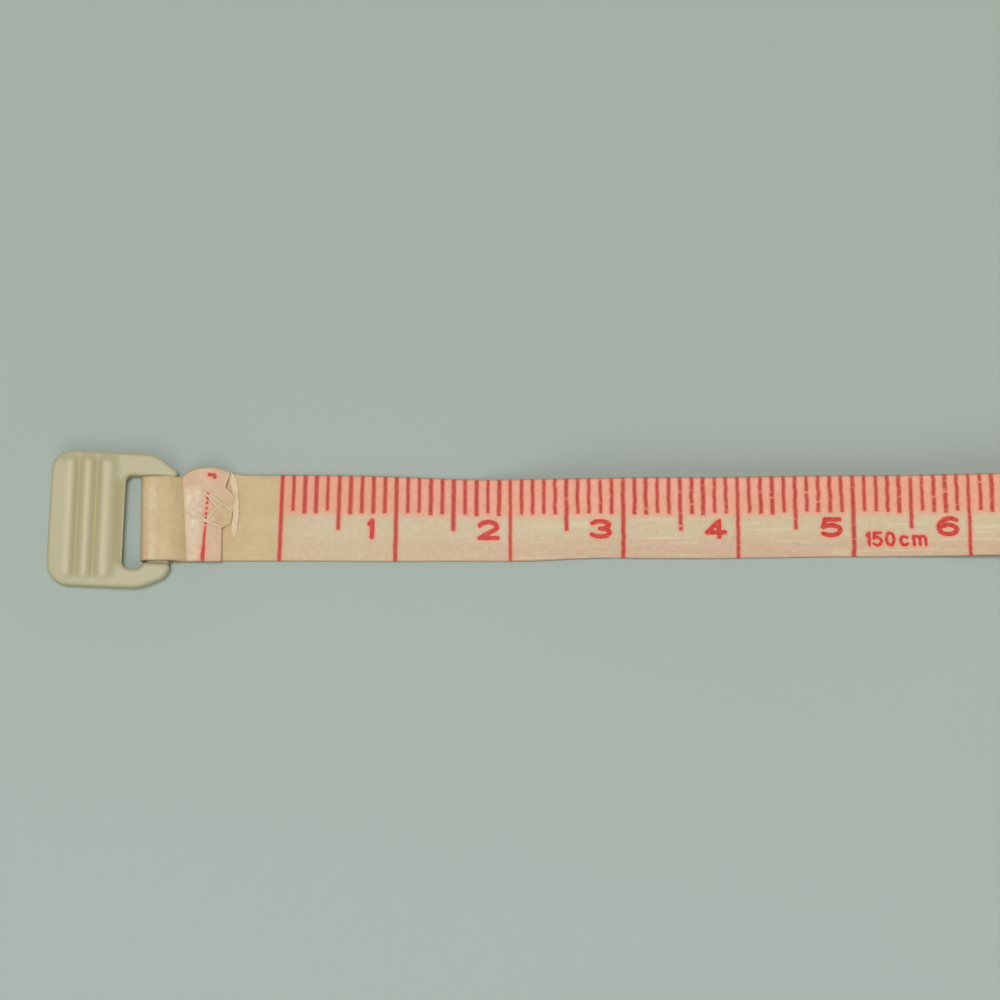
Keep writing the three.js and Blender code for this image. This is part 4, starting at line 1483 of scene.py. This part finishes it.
        # Marks for the painted shade in the grooves and the painted highlight on the crests.
        store(self.piece, "groove", (1 - share) ** 1.3 * upper * in_grip)
        store(self.piece, "crest", ease(share, 0.55, 0.95) * upper * in_grip)
        LOG.info("ribbed_tab: %d faces", len(mesh.polygons))
        return self.piece

    def join(self, plastic: bpy.types.Material) -> None:
        """Dresses the tab and ties it to the tab's body."""
        dress(self.piece, plastic)
        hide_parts("pull_tab")
        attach(self.piece, Body.TAB.value)


@dataclass(frozen=True)
class MouldedPlastic:
    """Moulded plastic with a faint cloudy tone and a fine grain, and painted shade in grooves and painted highlight on
    crests where a mesh marks them.

    Attributes:
        name: Name of the finish.
        tone: Its colour.
        cloud: Colour of its cloudy spots.
        roughness: Of its surface.
        grain: Depth of its grain, in millimetres.
        hollow: Painted shade, a darker tint where a mesh marks a groove.
        worn: Painted highlight, a lighter tint where a mesh marks a crest.
    """

    name: str
    tone: Colour
    cloud: Colour
    roughness: float
    grain: float = 0.006
    hollow: Colour | None = None
    worn: Colour | None = None

    def material(self) -> bpy.types.Material:
        """Builds the plastic's material.

        Returns:
            The material.
        """
        shader = Shader(self.name)
        x, y, z = shader.place()
        place = shader.vector(x, y, z)
        colour = shader.mix(shader.ease(shader.noise(place, 0.15, 2.0), 0.2, 0.8), self.tone, self.cloud)
        if self.hollow:
            # Painted shade in the grooves and painted highlight on the crests.
            colour = shader.mix(shader.times(shader.attribute("groove"), 0.9), colour, self.hollow)
            colour = shader.mix(shader.times(shader.attribute("crest"), 0.8), colour, self.worn)
        fine = shader.noise(place, 5.0, 3.0)
        shader.set(Base_Color=colour)
        shader.set(Roughness=shader.range(fine, self.roughness - 0.08, self.roughness + 0.08))
        shader.bump(fine, self.grain * MM, 0.6)
        return shader.material


@dataclass(frozen=True)
class Steel:
    """Plated steel with fine scratches.

    Attributes:
        tone: Its colour.
        dull: Colour of its dull spots.
        roughness: Of its surface.
    """

    tone: Colour = (0.62, 0.61, 0.58, 1.0)
    dull: Colour = (0.47, 0.46, 0.44, 1.0)
    roughness: float = 0.32

    def material(self) -> bpy.types.Material:
        """Builds the steel's material.

        Returns:
            The material.
        """
        shader = Shader("steel")
        x, y, z = shader.place()
        spots = shader.noise(shader.vector(x, y, z), 1.2, 3.0)
        lines = shader.noise(shader.vector(shader.times(x, 9.0), y, shader.times(z, 0.6)), 1.6, 2.0)
        shader.set(Base_Color=shader.mix(shader.ease(spots, 0.4, 0.7), self.tone, self.dull), Metallic=1.0)
        shader.set(Roughness=shader.range(lines, self.roughness - 0.1, self.roughness + 0.14))
        shader.bump(lines, 0.004 * MM, 0.5)
        return shader.material


@dataclass(frozen=True)
class SewingThread:
    """Pale twisted thread.

    Attributes:
        name: Name of the finish.
        tone: Its colour.
        deep: Painted shade between its strands.
        twist: Length of one turn of its strands, in millimetres.
    """

    name: str = "sewing_thread"
    tone: Colour = srgb(224, 206, 178)
    deep: Colour = srgb(210, 190, 158)
    twist: float = 0.3

    def material(self) -> bpy.types.Material:
        """Builds the thread's material.

        Returns:
            The material.
        """
        shader = Shader(self.name)
        x, y, z = shader.place()
        way = shader.math("ADD", shader.math("ADD", x, y), shader.times(z, 2.0))
        strands = shader.math("SINE", shader.times(way, 2 * math.pi / self.twist))
        rough = shader.noise(shader.vector(x, y, z), 4.0, 2.0)
        # Painted shade between the strands of the twist.
        colour = shader.mix(shader.ease(strands, 0.2, -0.9), self.tone, self.deep)
        shader.set(Base_Color=shader.mix(shader.ease(rough, 0.45, 0.8), colour, srgb(224, 207, 176)))
        shader.set(Roughness=shader.range(rough, 0.55, 0.75), Specular_IOR_Level=0.3)
        shader.bump(strands, 0.02 * MM, 0.6)
        return shader.material


@dataclass
class ReelCase:
    """The round standing case: a deep front half with the mouth and a shallow rear half.

    Attributes:
        route: The tape, which the mouth is cut for.
        rim: Rounding of the rims.
        wall: Of the case.
        bevel: Of the edges at the seam.
        toe_radius: Roundings of the toe and the heel.
        toe_height: Of the toe.
        heel: How far the foot reaches back.
        dish: Radius of the recess in the front face.
        dish_depth: Of that recess.
        hole: Radius of the button's hole.
        mouth_open: Height of the mouth.
        mouth_half: Half the mouth's width.
        boss: Radius of the screw bosses.
        bore: Radius of the screws' holes.
        sink: Radius of the screw heads' sinks.
        axle_sink: Radius of the axle screw's sink.
        axle_bore: Radius of its hole.
        sink_depth: Of all sinks.
    """

    route: TapeRoute
    rim: float = 1.6 * MM
    wall: float = 1.6 * MM
    bevel: float = 0.18 * MM
    toe_radius: float = 2.0 * MM
    toe_height: float = 8.8 * MM
    heel: float = 16.0 * MM
    dish: float = 18.0 * MM
    dish_depth: float = 0.4 * MM
    hole: float = 6.3 * MM
    mouth_open: float = 2.0 * MM
    mouth_half: float = 4.15 * MM
    boss: float = 1.6 * MM
    bore: float = 0.9 * MM
    sink: float = 1.7 * MM
    axle_sink: float = 2.4 * MM
    axle_bore: float = 1.0 * MM
    sink_depth: float = 0.9 * MM
    pieces: list[bpy.types.Object] = field(init=False, default_factory=list)

    @property
    def axle(self) -> float:
        """Height of the reel's axle, which is also the radius of the round."""
        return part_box("front_shell")[1].z / 2

    def _outline(self) -> tuple[np.ndarray, np.ndarray]:
        """Side view of the case: points and outward normals in X and Z."""
        small, toe, axle = self.toe_radius, self.route.mouth + self.toe_radius, self.axle
        circles = [(self.heel - small, small, small), (0.0, axle, axle),
                   (toe, self.toe_height - small, small), (toe, small, small)]
        step = math.radians(2.5)
        outline, normals = hull_outline(circles, step)
        points, outward = [], []
        for i, place in enumerate(outline):
            end, normal = outline[(i + 1) % len(outline)], normals[(i + 1) % len(outline)]
            turn = np.ptp(np.unwrap([math.atan2(p[1] - axle, p[0]) for p in (place, end)]))
            for share in np.linspace(0, 1, max(1, math.ceil(turn / step)), endpoint=False):
                points.append(place + (end - place) * share)
                outward.append(normals[i] + (normal - normals[i]) * share)
        return np.array(points), np.array(outward)

    def _rings(self, profile: Sequence[tuple[str, float, float]]) -> list[np.ndarray]:
        """Rings for a profile of steps.

        Args:
            profile: Steps, each with "in" and an inset from the outline or "round" and a radius round the
                axle, and the place along Y.

        Returns:
            The rings, all with the same count of points.
        """
        outline, normals = self._outline()
        axle = self.axle
        angles = np.arctan2(outline[:, 1] - axle, outline[:, 0])
        circle = np.column_stack([np.cos(angles), np.sin(angles)])
        rings = []
        for kind, size, y in profile:
            plan = outline - size * normals if kind == "in" else size * circle + (0.0, axle)
            rings.append(np.column_stack([plan[:, 0], np.full(len(plan), y), plan[:, 1]]))
        return rings

    def _rim(self, face: float, way: float) -> list[tuple[str, float, float]]:
        """Steps of a rounded rim, from the side to the face.

        Args:
            face: Place of the face along Y.
            way: -1 for the front face and 1 for the rear face.

        Returns:
            The steps.
        """
        turns = np.radians(np.linspace(0, 90, 9))
        return [("in", self.rim * (1 - math.cos(t)), face - way * self.rim * (1 - math.sin(t))) for t in turns]

    def _rod(self, x: float, z: float, *steps: tuple[float, float]) -> bpy.types.Object:
        """A closed round rod along Y, through steps that each give a radius and a place."""
        turns = np.linspace(0, 2 * math.pi, 48, endpoint=False)
        rings = [np.column_stack([x + radius * np.cos(turns), np.full(48, y), z + radius * np.sin(turns)])
                 for radius, y in ((0.0, steps[0][1]), *steps, (0.0, steps[-1][1]))]
        return lofted_piece("rod", rings, closed=False)

    def _screw_places(self) -> list[tuple[float, float]]:
        """X and Z of the three case screws."""
        boxes = [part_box(f"case_screw_{number}") for number in (1, 2, 3)]
        return [((low.x + high.x) / 2, (low.z + high.z) / 2) for low, high in boxes]

    def _mouth_tool(self) -> bpy.types.Object:
        """What is cut out for the mouth: a flat channel that flares at its outer end."""
        route = self.route
        turns = np.linspace(0, 2 * math.pi, 64, endpoint=False)
        rings = []
        for past, flare in ((-1.6, 1.35), (-0.35, 0.75), (0.05, 0.42), (0.45, 0.18), (1.0, 0.03), (1.6, 0.0), (11.0, 0.0)):
            x = route.mouth + past * MM
            z = route.mouth_height + 0.85 * MM * max(0.0, past * MM) / (route.reel - route.mouth)
            across = (self.mouth_half + flare * MM) * np.sign(np.cos(turns)) * np.abs(np.cos(turns)) ** 0.25
            up = (self.mouth_open / 2 + flare * MM) * np.sign(np.sin(turns)) * np.abs(np.sin(turns)) ** 0.5
            rings.append(np.column_stack([np.full(64, x), across, z + up]))
        points, faces = loft(rings, closed=False)
        last = len(points) - 64
        faces += [tuple(range(64)), tuple(range(last, last + 64))]
        return mesh_piece("mouth_tool", points, faces)

    def _front(self) -> bpy.types.Object:
        """The deep front half."""
        low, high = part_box("front_shell")
        face, seam = low.y, high.y
        inside, room = face + self.wall, self.axle - self.wall
        profile = [("in", self.bevel, seam), ("in", 0.0, seam - self.bevel), *self._rim(face, -1)]
        profile += [("round", self.dish + 0.35 * MM, face), ("round", self.dish + 0.1 * MM, face + 0.08 * MM)]
        profile += [("round", self.dish, face + self.dish_depth - 0.06 * MM)]
        profile += [("round", self.dish - 0.2 * MM, face + self.dish_depth)]
        profile += [("round", self.hole + 0.3 * MM, face + self.dish_depth)]
        profile += [("round", self.hole, face + self.dish_depth + 0.3 * MM), ("round", self.hole, inside)]
        profile += [("round", room, inside), ("round", room, seam)]
        shell = lofted_piece("case_front", self._rings(profile), closed=True)
        places = self._screw_places()
        towers = [self._rod(x, z, (self.boss, inside - 0.3 * MM), (self.boss, seam)) for x, z in places]
        carve(shell, towers, Change.ADD)
        bores = [self._rod(x, z, (self.bore, seam - 5.0 * MM), (self.bore, seam + 1 * MM)) for x, z in places]
        return carve(shell, [*bores, self._mouth_tool()], Change.CUT)

    def _rear(self) -> bpy.types.Object:
        """The shallow rear half with the sinks for the screws."""
        low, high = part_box("rear_cover")
        seam, face = low.y, high.y
        inside, room, floor = face - self.wall, self.axle - self.wall, face - self.sink_depth
        edge = 0.15 * MM
        profile = [("in", self.bevel, seam), ("in", 0.0, seam + self.bevel), *self._rim(face, 1)]
        profile += [("round", self.axle_sink + edge, face), ("round", self.axle_sink, face - edge)]
        profile += [("round", self.axle_sink, floor), ("round", self.axle_bore, floor)]
        profile += [("round", self.axle_bore, inside), ("round", room, inside), ("round", room, seam)]
        cover = lofted_piece("case_rear", self._rings(profile), closed=True)
        steps = (self.bore, seam - 1 * MM), (self.bore, floor), (self.sink, floor), (self.sink, face + 1 * MM)
        return carve(cover, [self._rod(x, z, *steps) for x, z in self._screw_places()], Change.CUT)

    def build(self, plastic: bpy.types.Material) -> None:
        """Makes both halves.

        Args:
            plastic: Their finish.
        """
        for piece, node in ((self._front(), "front_shell"), (self._rear(), "rear_cover")):
            dress(piece, plastic)
            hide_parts(node)
            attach(piece, Body.CASE.value)
            self.pieces.append(piece)
            LOG.info("%s: %d faces", piece.name, len(piece.data.polygons))


@dataclass
class PushButton:
    """The red button with a domed top and a flange behind the case's wall.

    Attributes:
        radius: Of the part in the case's hole.
        dome: Height of the domed top.
        edge: Rounding of its edge.
        flange: Radius of the flange.
        flange_wall: Thickness of the flange.
        nub: Radius of the nub that presses the lever.
        nub_length: Of that nub.
    """

    radius: float = 6.0 * MM
    dome: float = 0.5 * MM
    edge: float = 0.35 * MM
    flange: float = 7.0 * MM
    flange_wall: float = 0.7 * MM
    nub: float = 1.2 * MM
    nub_length: float = 0.8 * MM

    def build(self, plastic: bpy.types.Material) -> bpy.types.Object:
        """Makes the button.

        Args:
            plastic: Its finish.

        Returns:
            The button.
        """
        low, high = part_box("button")
        axle, top, tip = (low.z + high.z) / 2, low.y, high.y
        rear = tip - self.nub_length
        turns = np.radians(np.linspace(0, 90, 7))
        shares = np.linspace(0, 1, 12)
        flat = self.radius - self.edge
        profile = [(flat * s, top + self.dome * 0.75 * s * s) for s in shares]
        rounded = top + self.dome * 0.75 + self.edge
        profile += [(flat + self.edge * math.sin(t), rounded - self.edge * math.cos(t)) for t in turns[1:]]
        front = rear - self.flange_wall
        profile += [(self.radius, front), (self.flange, front), (self.flange, rear)]
        profile += [(self.nub, rear), (self.nub, tip), (0.0, tip)]
        around = np.linspace(0, 2 * math.pi, 96, endpoint=False)
        rings = [np.column_stack([r * np.cos(around), np.full(96, y), axle + r * np.sin(around)])
                 for r, y in profile]
        piece = lofted_piece("push_button", rings, closed=False)
        dress(piece, plastic)
        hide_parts("button")
        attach(piece, Body.BUTTON.value)
        LOG.info("push_button: %d faces", len(piece.data.polygons))
        return piece


@dataclass
class Winding:
    """The rest of the tape, wound on the reel.

    Attributes:
        route: The tape.
        pitch: From turn to turn.
        turns: How many there are.
        step: Angle between two points of the path, in degrees.
    """

    route: TapeRoute
    pitch: float = 0.75 * MM
    turns: float = 14.917
    step: float = 4.0

    def build(self, axle: float, cloth: bpy.types.Material) -> bpy.types.Object:
        """Makes the wound tape.

        Args:
            axle: Height of the reel's axle.
            cloth: Its finish.

        Returns:
            The wound tape.
        """
        outer = axle - self.route.reel_height
        turn = np.arange(0, 2 * math.pi * self.turns, math.radians(self.step))
        radius = outer - self.pitch * turn / (2 * math.pi)
        angle = turn - math.pi / 2
        mesh = bpy.data.meshes.new("wound_tape_path")
        path = np.column_stack([radius * np.cos(angle), radius * np.sin(angle), np.zeros(len(turn))])
        mesh.from_pydata(path.tolist(), [(i, i + 1) for i in range(len(turn) - 1)], [])
        piece = bpy.data.objects.new("tape_winding", mesh)
        bpy.context.scene.collection.objects.link(piece)
        tree = Growth("tape_round_the_reel")
        profile = tree.add("GeometryNodeCurvePrimitiveQuadrilateral",
                           Width=tree.size("Thickness", self.route.thickness),
                           Height=tree.size("Tape width", self.route.width))
        curve = tree.add("GeometryNodeMeshToCurve", Mesh=tree.start.outputs["Geometry"])
        upright = tree.add("GeometryNodeSetCurveNormal", {"mode": "Z_UP"}, Curve=curve.outputs[0])
        band = tree.add("GeometryNodeCurveToMesh", Curve=upright.outputs[0],
                        Profile_Curve=profile.outputs["Curve"], Fill_Caps=True)
        stood = tree.add("GeometryNodeTransform", Geometry=band.outputs[0], Rotation=(math.pi / 2, 0.0, 0.0),
                         Translation=tree.vector(0.0, 0.0, tree.size("Axle height", axle)))
        tree.grow(piece, stood.outputs[0], cloth)
        piece.data.shade_smooth()
        piece.data.set_sharp_from_angle(angle=math.radians(40))
        dress(piece, cloth)
        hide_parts("wound_tape")
        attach(piece, Body.REEL.value)
        LOG.info("tape_winding: %d faces", len(piece.data.polygons))
        return piece


@dataclass
class BrakeSpring:
    """The coil spring behind the lever, which shortens as the button is pressed.

    Attributes:
        radius: To the middle of its wire.
        wire: Diameter of its wire.
        curls: How many there are.
        seat: Y of what its fixed end rests on; not used.
        travel: How far its other end is pressed in; not used.
    """

    radius: float = 1.0 * MM
    wire: float = 0.35 * MM
    curls: float = 4.0
    seat: float = -0.7 * MM
    travel: float = 1.15 * MM

    def build(self, steel: bpy.types.Material) -> bpy.types.Object:
        """Makes the spring.

        Args:
            steel: Its finish.

        Returns:
            The spring.
        """
        low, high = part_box("brake_spring")
        axle, outer = (low.z + high.z) / 2, low.y + self.wire / 2
        piece = bpy.data.objects.new("brake_coil", bpy.data.meshes.new("brake_coil"))
        bpy.context.scene.collection.objects.link(piece)
        tree = Growth("wire_round_an_axis")
        radius = tree.size("Radius", self.radius)
        coil = tree.add("GeometryNodeCurveSpiral", Resolution=tree.size("Points in a curl", 24),
                        Rotations=tree.size("Curls", self.curls), Start_Radius=radius, End_Radius=radius,
                        Height=tree.size("Length", high.y - low.y - self.wire))
        profile = tree.add("GeometryNodeCurvePrimitiveCircle", Resolution=tree.size("Sides", 10),
                           Radius=tree.size("Wire radius", self.wire / 2))
        tube = tree.add("GeometryNodeCurveToMesh", Curve=coil.outputs[0],
                        Profile_Curve=profile.outputs["Curve"], Fill_Caps=True)
        laid = tree.add("GeometryNodeTransform", Geometry=tube.outputs[0], Rotation=(-math.pi / 2, 0.0, 0.0),
                        Translation=(0.0, outer, axle))
        dress(tree.grow(piece, laid.outputs[0], steel), steel)
        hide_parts("brake_spring")
        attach(piece, Body.CASE.value)
        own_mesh(piece)
        LOG.info("brake_coil: %d faces", len(piece.data.polygons))
        return piece


@dataclass
class InnerWorks:
    """The CAD pieces that are shown as they are, each with its finish."""

    def build(self, finishes: dict[Slot, bpy.types.Material]) -> None:
        """Gives each of these pieces its finish.

        Args:
            finishes: The finish for each slot.
        """
        nodes = {
            Slot.REEL: ("reel_drum", "reel_cover", "tape_anchor", "thrust_washer"),
            Slot.STEEL: ("mainspring", "arbor", "arbor_screw", "lever_pin", "case_screw_1", "case_screw_2",
                         "case_screw_3"),
            Slot.LEVER: ("brake_lever",),
            Slot.PAD: ("brake_pad",),
        }
        for slot, names in nodes.items():
            for name in names:
                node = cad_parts[name]
                node.data.materials.clear()
                node.data.materials.append(finishes[slot])
                LOG.info("%s: %s", name, slot.value)


@dataclass(frozen=True)
class TableTop:
    """Plain pale table, grey-green with a faint change of tone.

    Attributes:
        near: Its tone.
        away: Its second tone.
    """

    near: Colour = srgb(168, 180, 174)
    away: Colour = srgb(166, 175, 166)

    def material(self) -> bpy.types.Material:
        """Builds the table's material.

        Returns:
            The material.
        """
        shader = Shader("table_top")
        x, y, _ = shader.place()
        tone = shader.noise(shader.vector(shader.times(x, 0.004), shader.times(y, 0.02)), 1.0, 2.0)
        place = shader.math("ADD", y, shader.times(shader.math("SUBTRACT", tone, 0.5), 40.0))
        colour = shader.mix(shader.ease(place, -40.0, 45.0), self.near, self.away)
        shader.set(Base_Color=colour, Roughness=0.7, Specular_IOR_Level=0.25)
        return shader.material


@dataclass(frozen=True)
class Studio:
    """Camera, lights and table.

    Attributes:
        route: The tape, which the camera looks at.
        lens: Focal length, on a sensor 36 mm wide.
        distance: From the camera to the point it looks at.
        elevation: Of the camera above the table.
        aim_from_zero: Point that it looks at, along X from the zero line.
        aim_across: Point that it looks at, along Y.
        sky: Strength of the room's light from above.
        horizon: Strength of the room's light from the sides.
    """

    route: TapeRoute
    lens: float = 165.0
    distance: float = 0.3988
    elevation: float = math.radians(81.5)
    aim_from_zero: float = 19.04 * MM
    aim_across: float = 1.58 * MM
    sky: float = 0.14
    horizon: float = 1.25

    def build(self) -> None:
        """Makes the camera, the lights and the table."""
        self._camera()
        self._world()
        self._lamp("top_light", (-0.12, 0.02, 1.47), 0.4, 12.8, (1.0, 1.0, 0.99))
        self._lamp("key_light", (-0.25, -0.82, 1.03), 0.95, 5.0, (1.0, 0.985, 0.96))
        self._lamp("rear_fill", (0.4, 0.95, 0.75), 1.0, 1.0, (0.98, 0.99, 1.0))
        self._table()
        bpy.context.scene.view_settings.view_transform = "Standard"

    def _camera(self) -> None:
        """Looks down on the first centimetres of the tape."""
        camera = bpy.data.cameras.new("camera")
        camera.lens = self.lens
        camera.sensor_width = 36.0
        camera.clip_start, camera.clip_end = 0.01, 20.0
        aim = Vector((self.route.zero + self.aim_from_zero, self.aim_across, 0.3 * MM))
        back = Vector((0, -math.cos(self.elevation), math.sin(self.elevation)))
        holder = bpy.data.objects.new("camera", camera)
        holder.location = aim + self.distance * back
        holder.rotation_mode = "QUATERNION"
        holder.rotation_quaternion = (-back).to_track_quat("-Z", "Y")
        bpy.context.scene.collection.objects.link(holder)
        bpy.context.scene.camera = holder

    def _world(self) -> None:
        """Soft light from all sides, brighter near the horizon so that upright faces are lit too."""
        world = bpy.data.worlds.new("soft_room")
        world.use_nodes = True
        tree = world.node_tree
        ground = tree.nodes["Background"]
        ground.inputs["Color"].default_value = (0.97, 1.0, 0.99, 1.0)
        way = tree.nodes.new("ShaderNodeTexCoord")
        parts = tree.nodes.new("ShaderNodeSeparateXYZ")
        level = tree.nodes.new("ShaderNodeMapRange")
        level.inputs["From Max"].default_value = 0.42
        level.inputs["To Min"].default_value = self.horizon
        level.inputs["To Max"].default_value = self.sky
        tree.links.new(way.outputs["Generated"], parts.inputs["Vector"])
        tree.links.new(parts.outputs["Z"], level.inputs["Value"])
        tree.links.new(level.outputs["Result"], ground.inputs["Strength"])
        bpy.context.scene.world = world

    def _lamp(self, name: str, place: tuple, size: float, power: float, colour: tuple) -> None:
        """A square soft lamp that looks at the tape.

        Args:
            name: Name of the lamp.
            place: Where it stands, from the point that the camera looks at.
            size: Length of its side.
            power: In watts.
            colour: Its colour.
        """
        lamp = bpy.data.lights.new(name, "AREA")
        lamp.size, lamp.energy, lamp.color = size, power, colour
        holder = bpy.data.objects.new(name, lamp)
        aim = Vector((self.route.zero + self.aim_from_zero, 0, 0))
        holder.location = aim + Vector(place)
        holder.rotation_mode = "QUATERNION"
        holder.rotation_quaternion = (-Vector(place)).to_track_quat("-Z", "Y")
        bpy.context.scene.collection.objects.link(holder)

    def _table(self) -> None:
        """A wide flat table at the foot of the case."""
        reach = 6.0
        corners = [(-reach, -reach, 0), (reach, -reach, 0), (reach, reach, 0), (-reach, reach, 0)]
        table = mesh_piece("table", corners, [(0, 1, 2, 3)])
        table.data.materials.append(TableTop().material())


def main() -> None:
    """Builds all pieces in order."""
    logging.basicConfig(level=logging.INFO, format="%(name)s: %(message)s")
    route = TapeRoute()
    Studio(route).build()
    printed = TapeCloth().material(route)
    plain = TapeCloth(Print.NONE).material(route)
    ivory = MouldedPlastic("ivory_plastic", srgb(214, 206, 178), srgb(210, 201, 172), 0.42)
    tab_ivory = MouldedPlastic("tab_plastic", srgb(182, 175, 141), srgb(177, 169, 133), 0.5,
                               hollow=srgb(167, 158, 113), worn=srgb(193, 183, 147))
    red = MouldedPlastic("red_plastic", srgb(178, 62, 54), srgb(170, 54, 48), 0.22, 0.002)
    finishes = {
        Slot.REEL: MouldedPlastic("reel_plastic", srgb(229, 226, 214), srgb(222, 218, 204), 0.45).material(),
        Slot.STEEL: Steel().material(),
        Slot.LEVER: MouldedPlastic("lever_plastic", srgb(74, 74, 71), srgb(66, 66, 64), 0.5).material(),
        Slot.PAD: MouldedPlastic("brake_rubber", srgb(44, 44, 44), srgb(38, 38, 38), 0.8, 0.02).material(),
    }
    tape = PrintedTape(route)
    tape.build()
    tab = PullTab(route)
    tab.build()
    tab.join(tab_ivory.material())
    sewn = SewnEnd(route)
    frayed = SewingThread("loose_thread", srgb(227, 205, 170), srgb(220, 196, 159))
    sewn.build(printed, SewingThread().material(), frayed.material())
    sewn.join()
    tape.join(printed, [*sewn.pieces, tab.piece])
    case = ReelCase(route)
    case.build(ivory.material())
    PushButton().build(red.material())
    Winding(route).build(case.axle, plain)
    BrakeSpring().build(finishes[Slot.STEEL])
    InnerWorks().build(finishes)


if __name__ == "__main__":
    main()
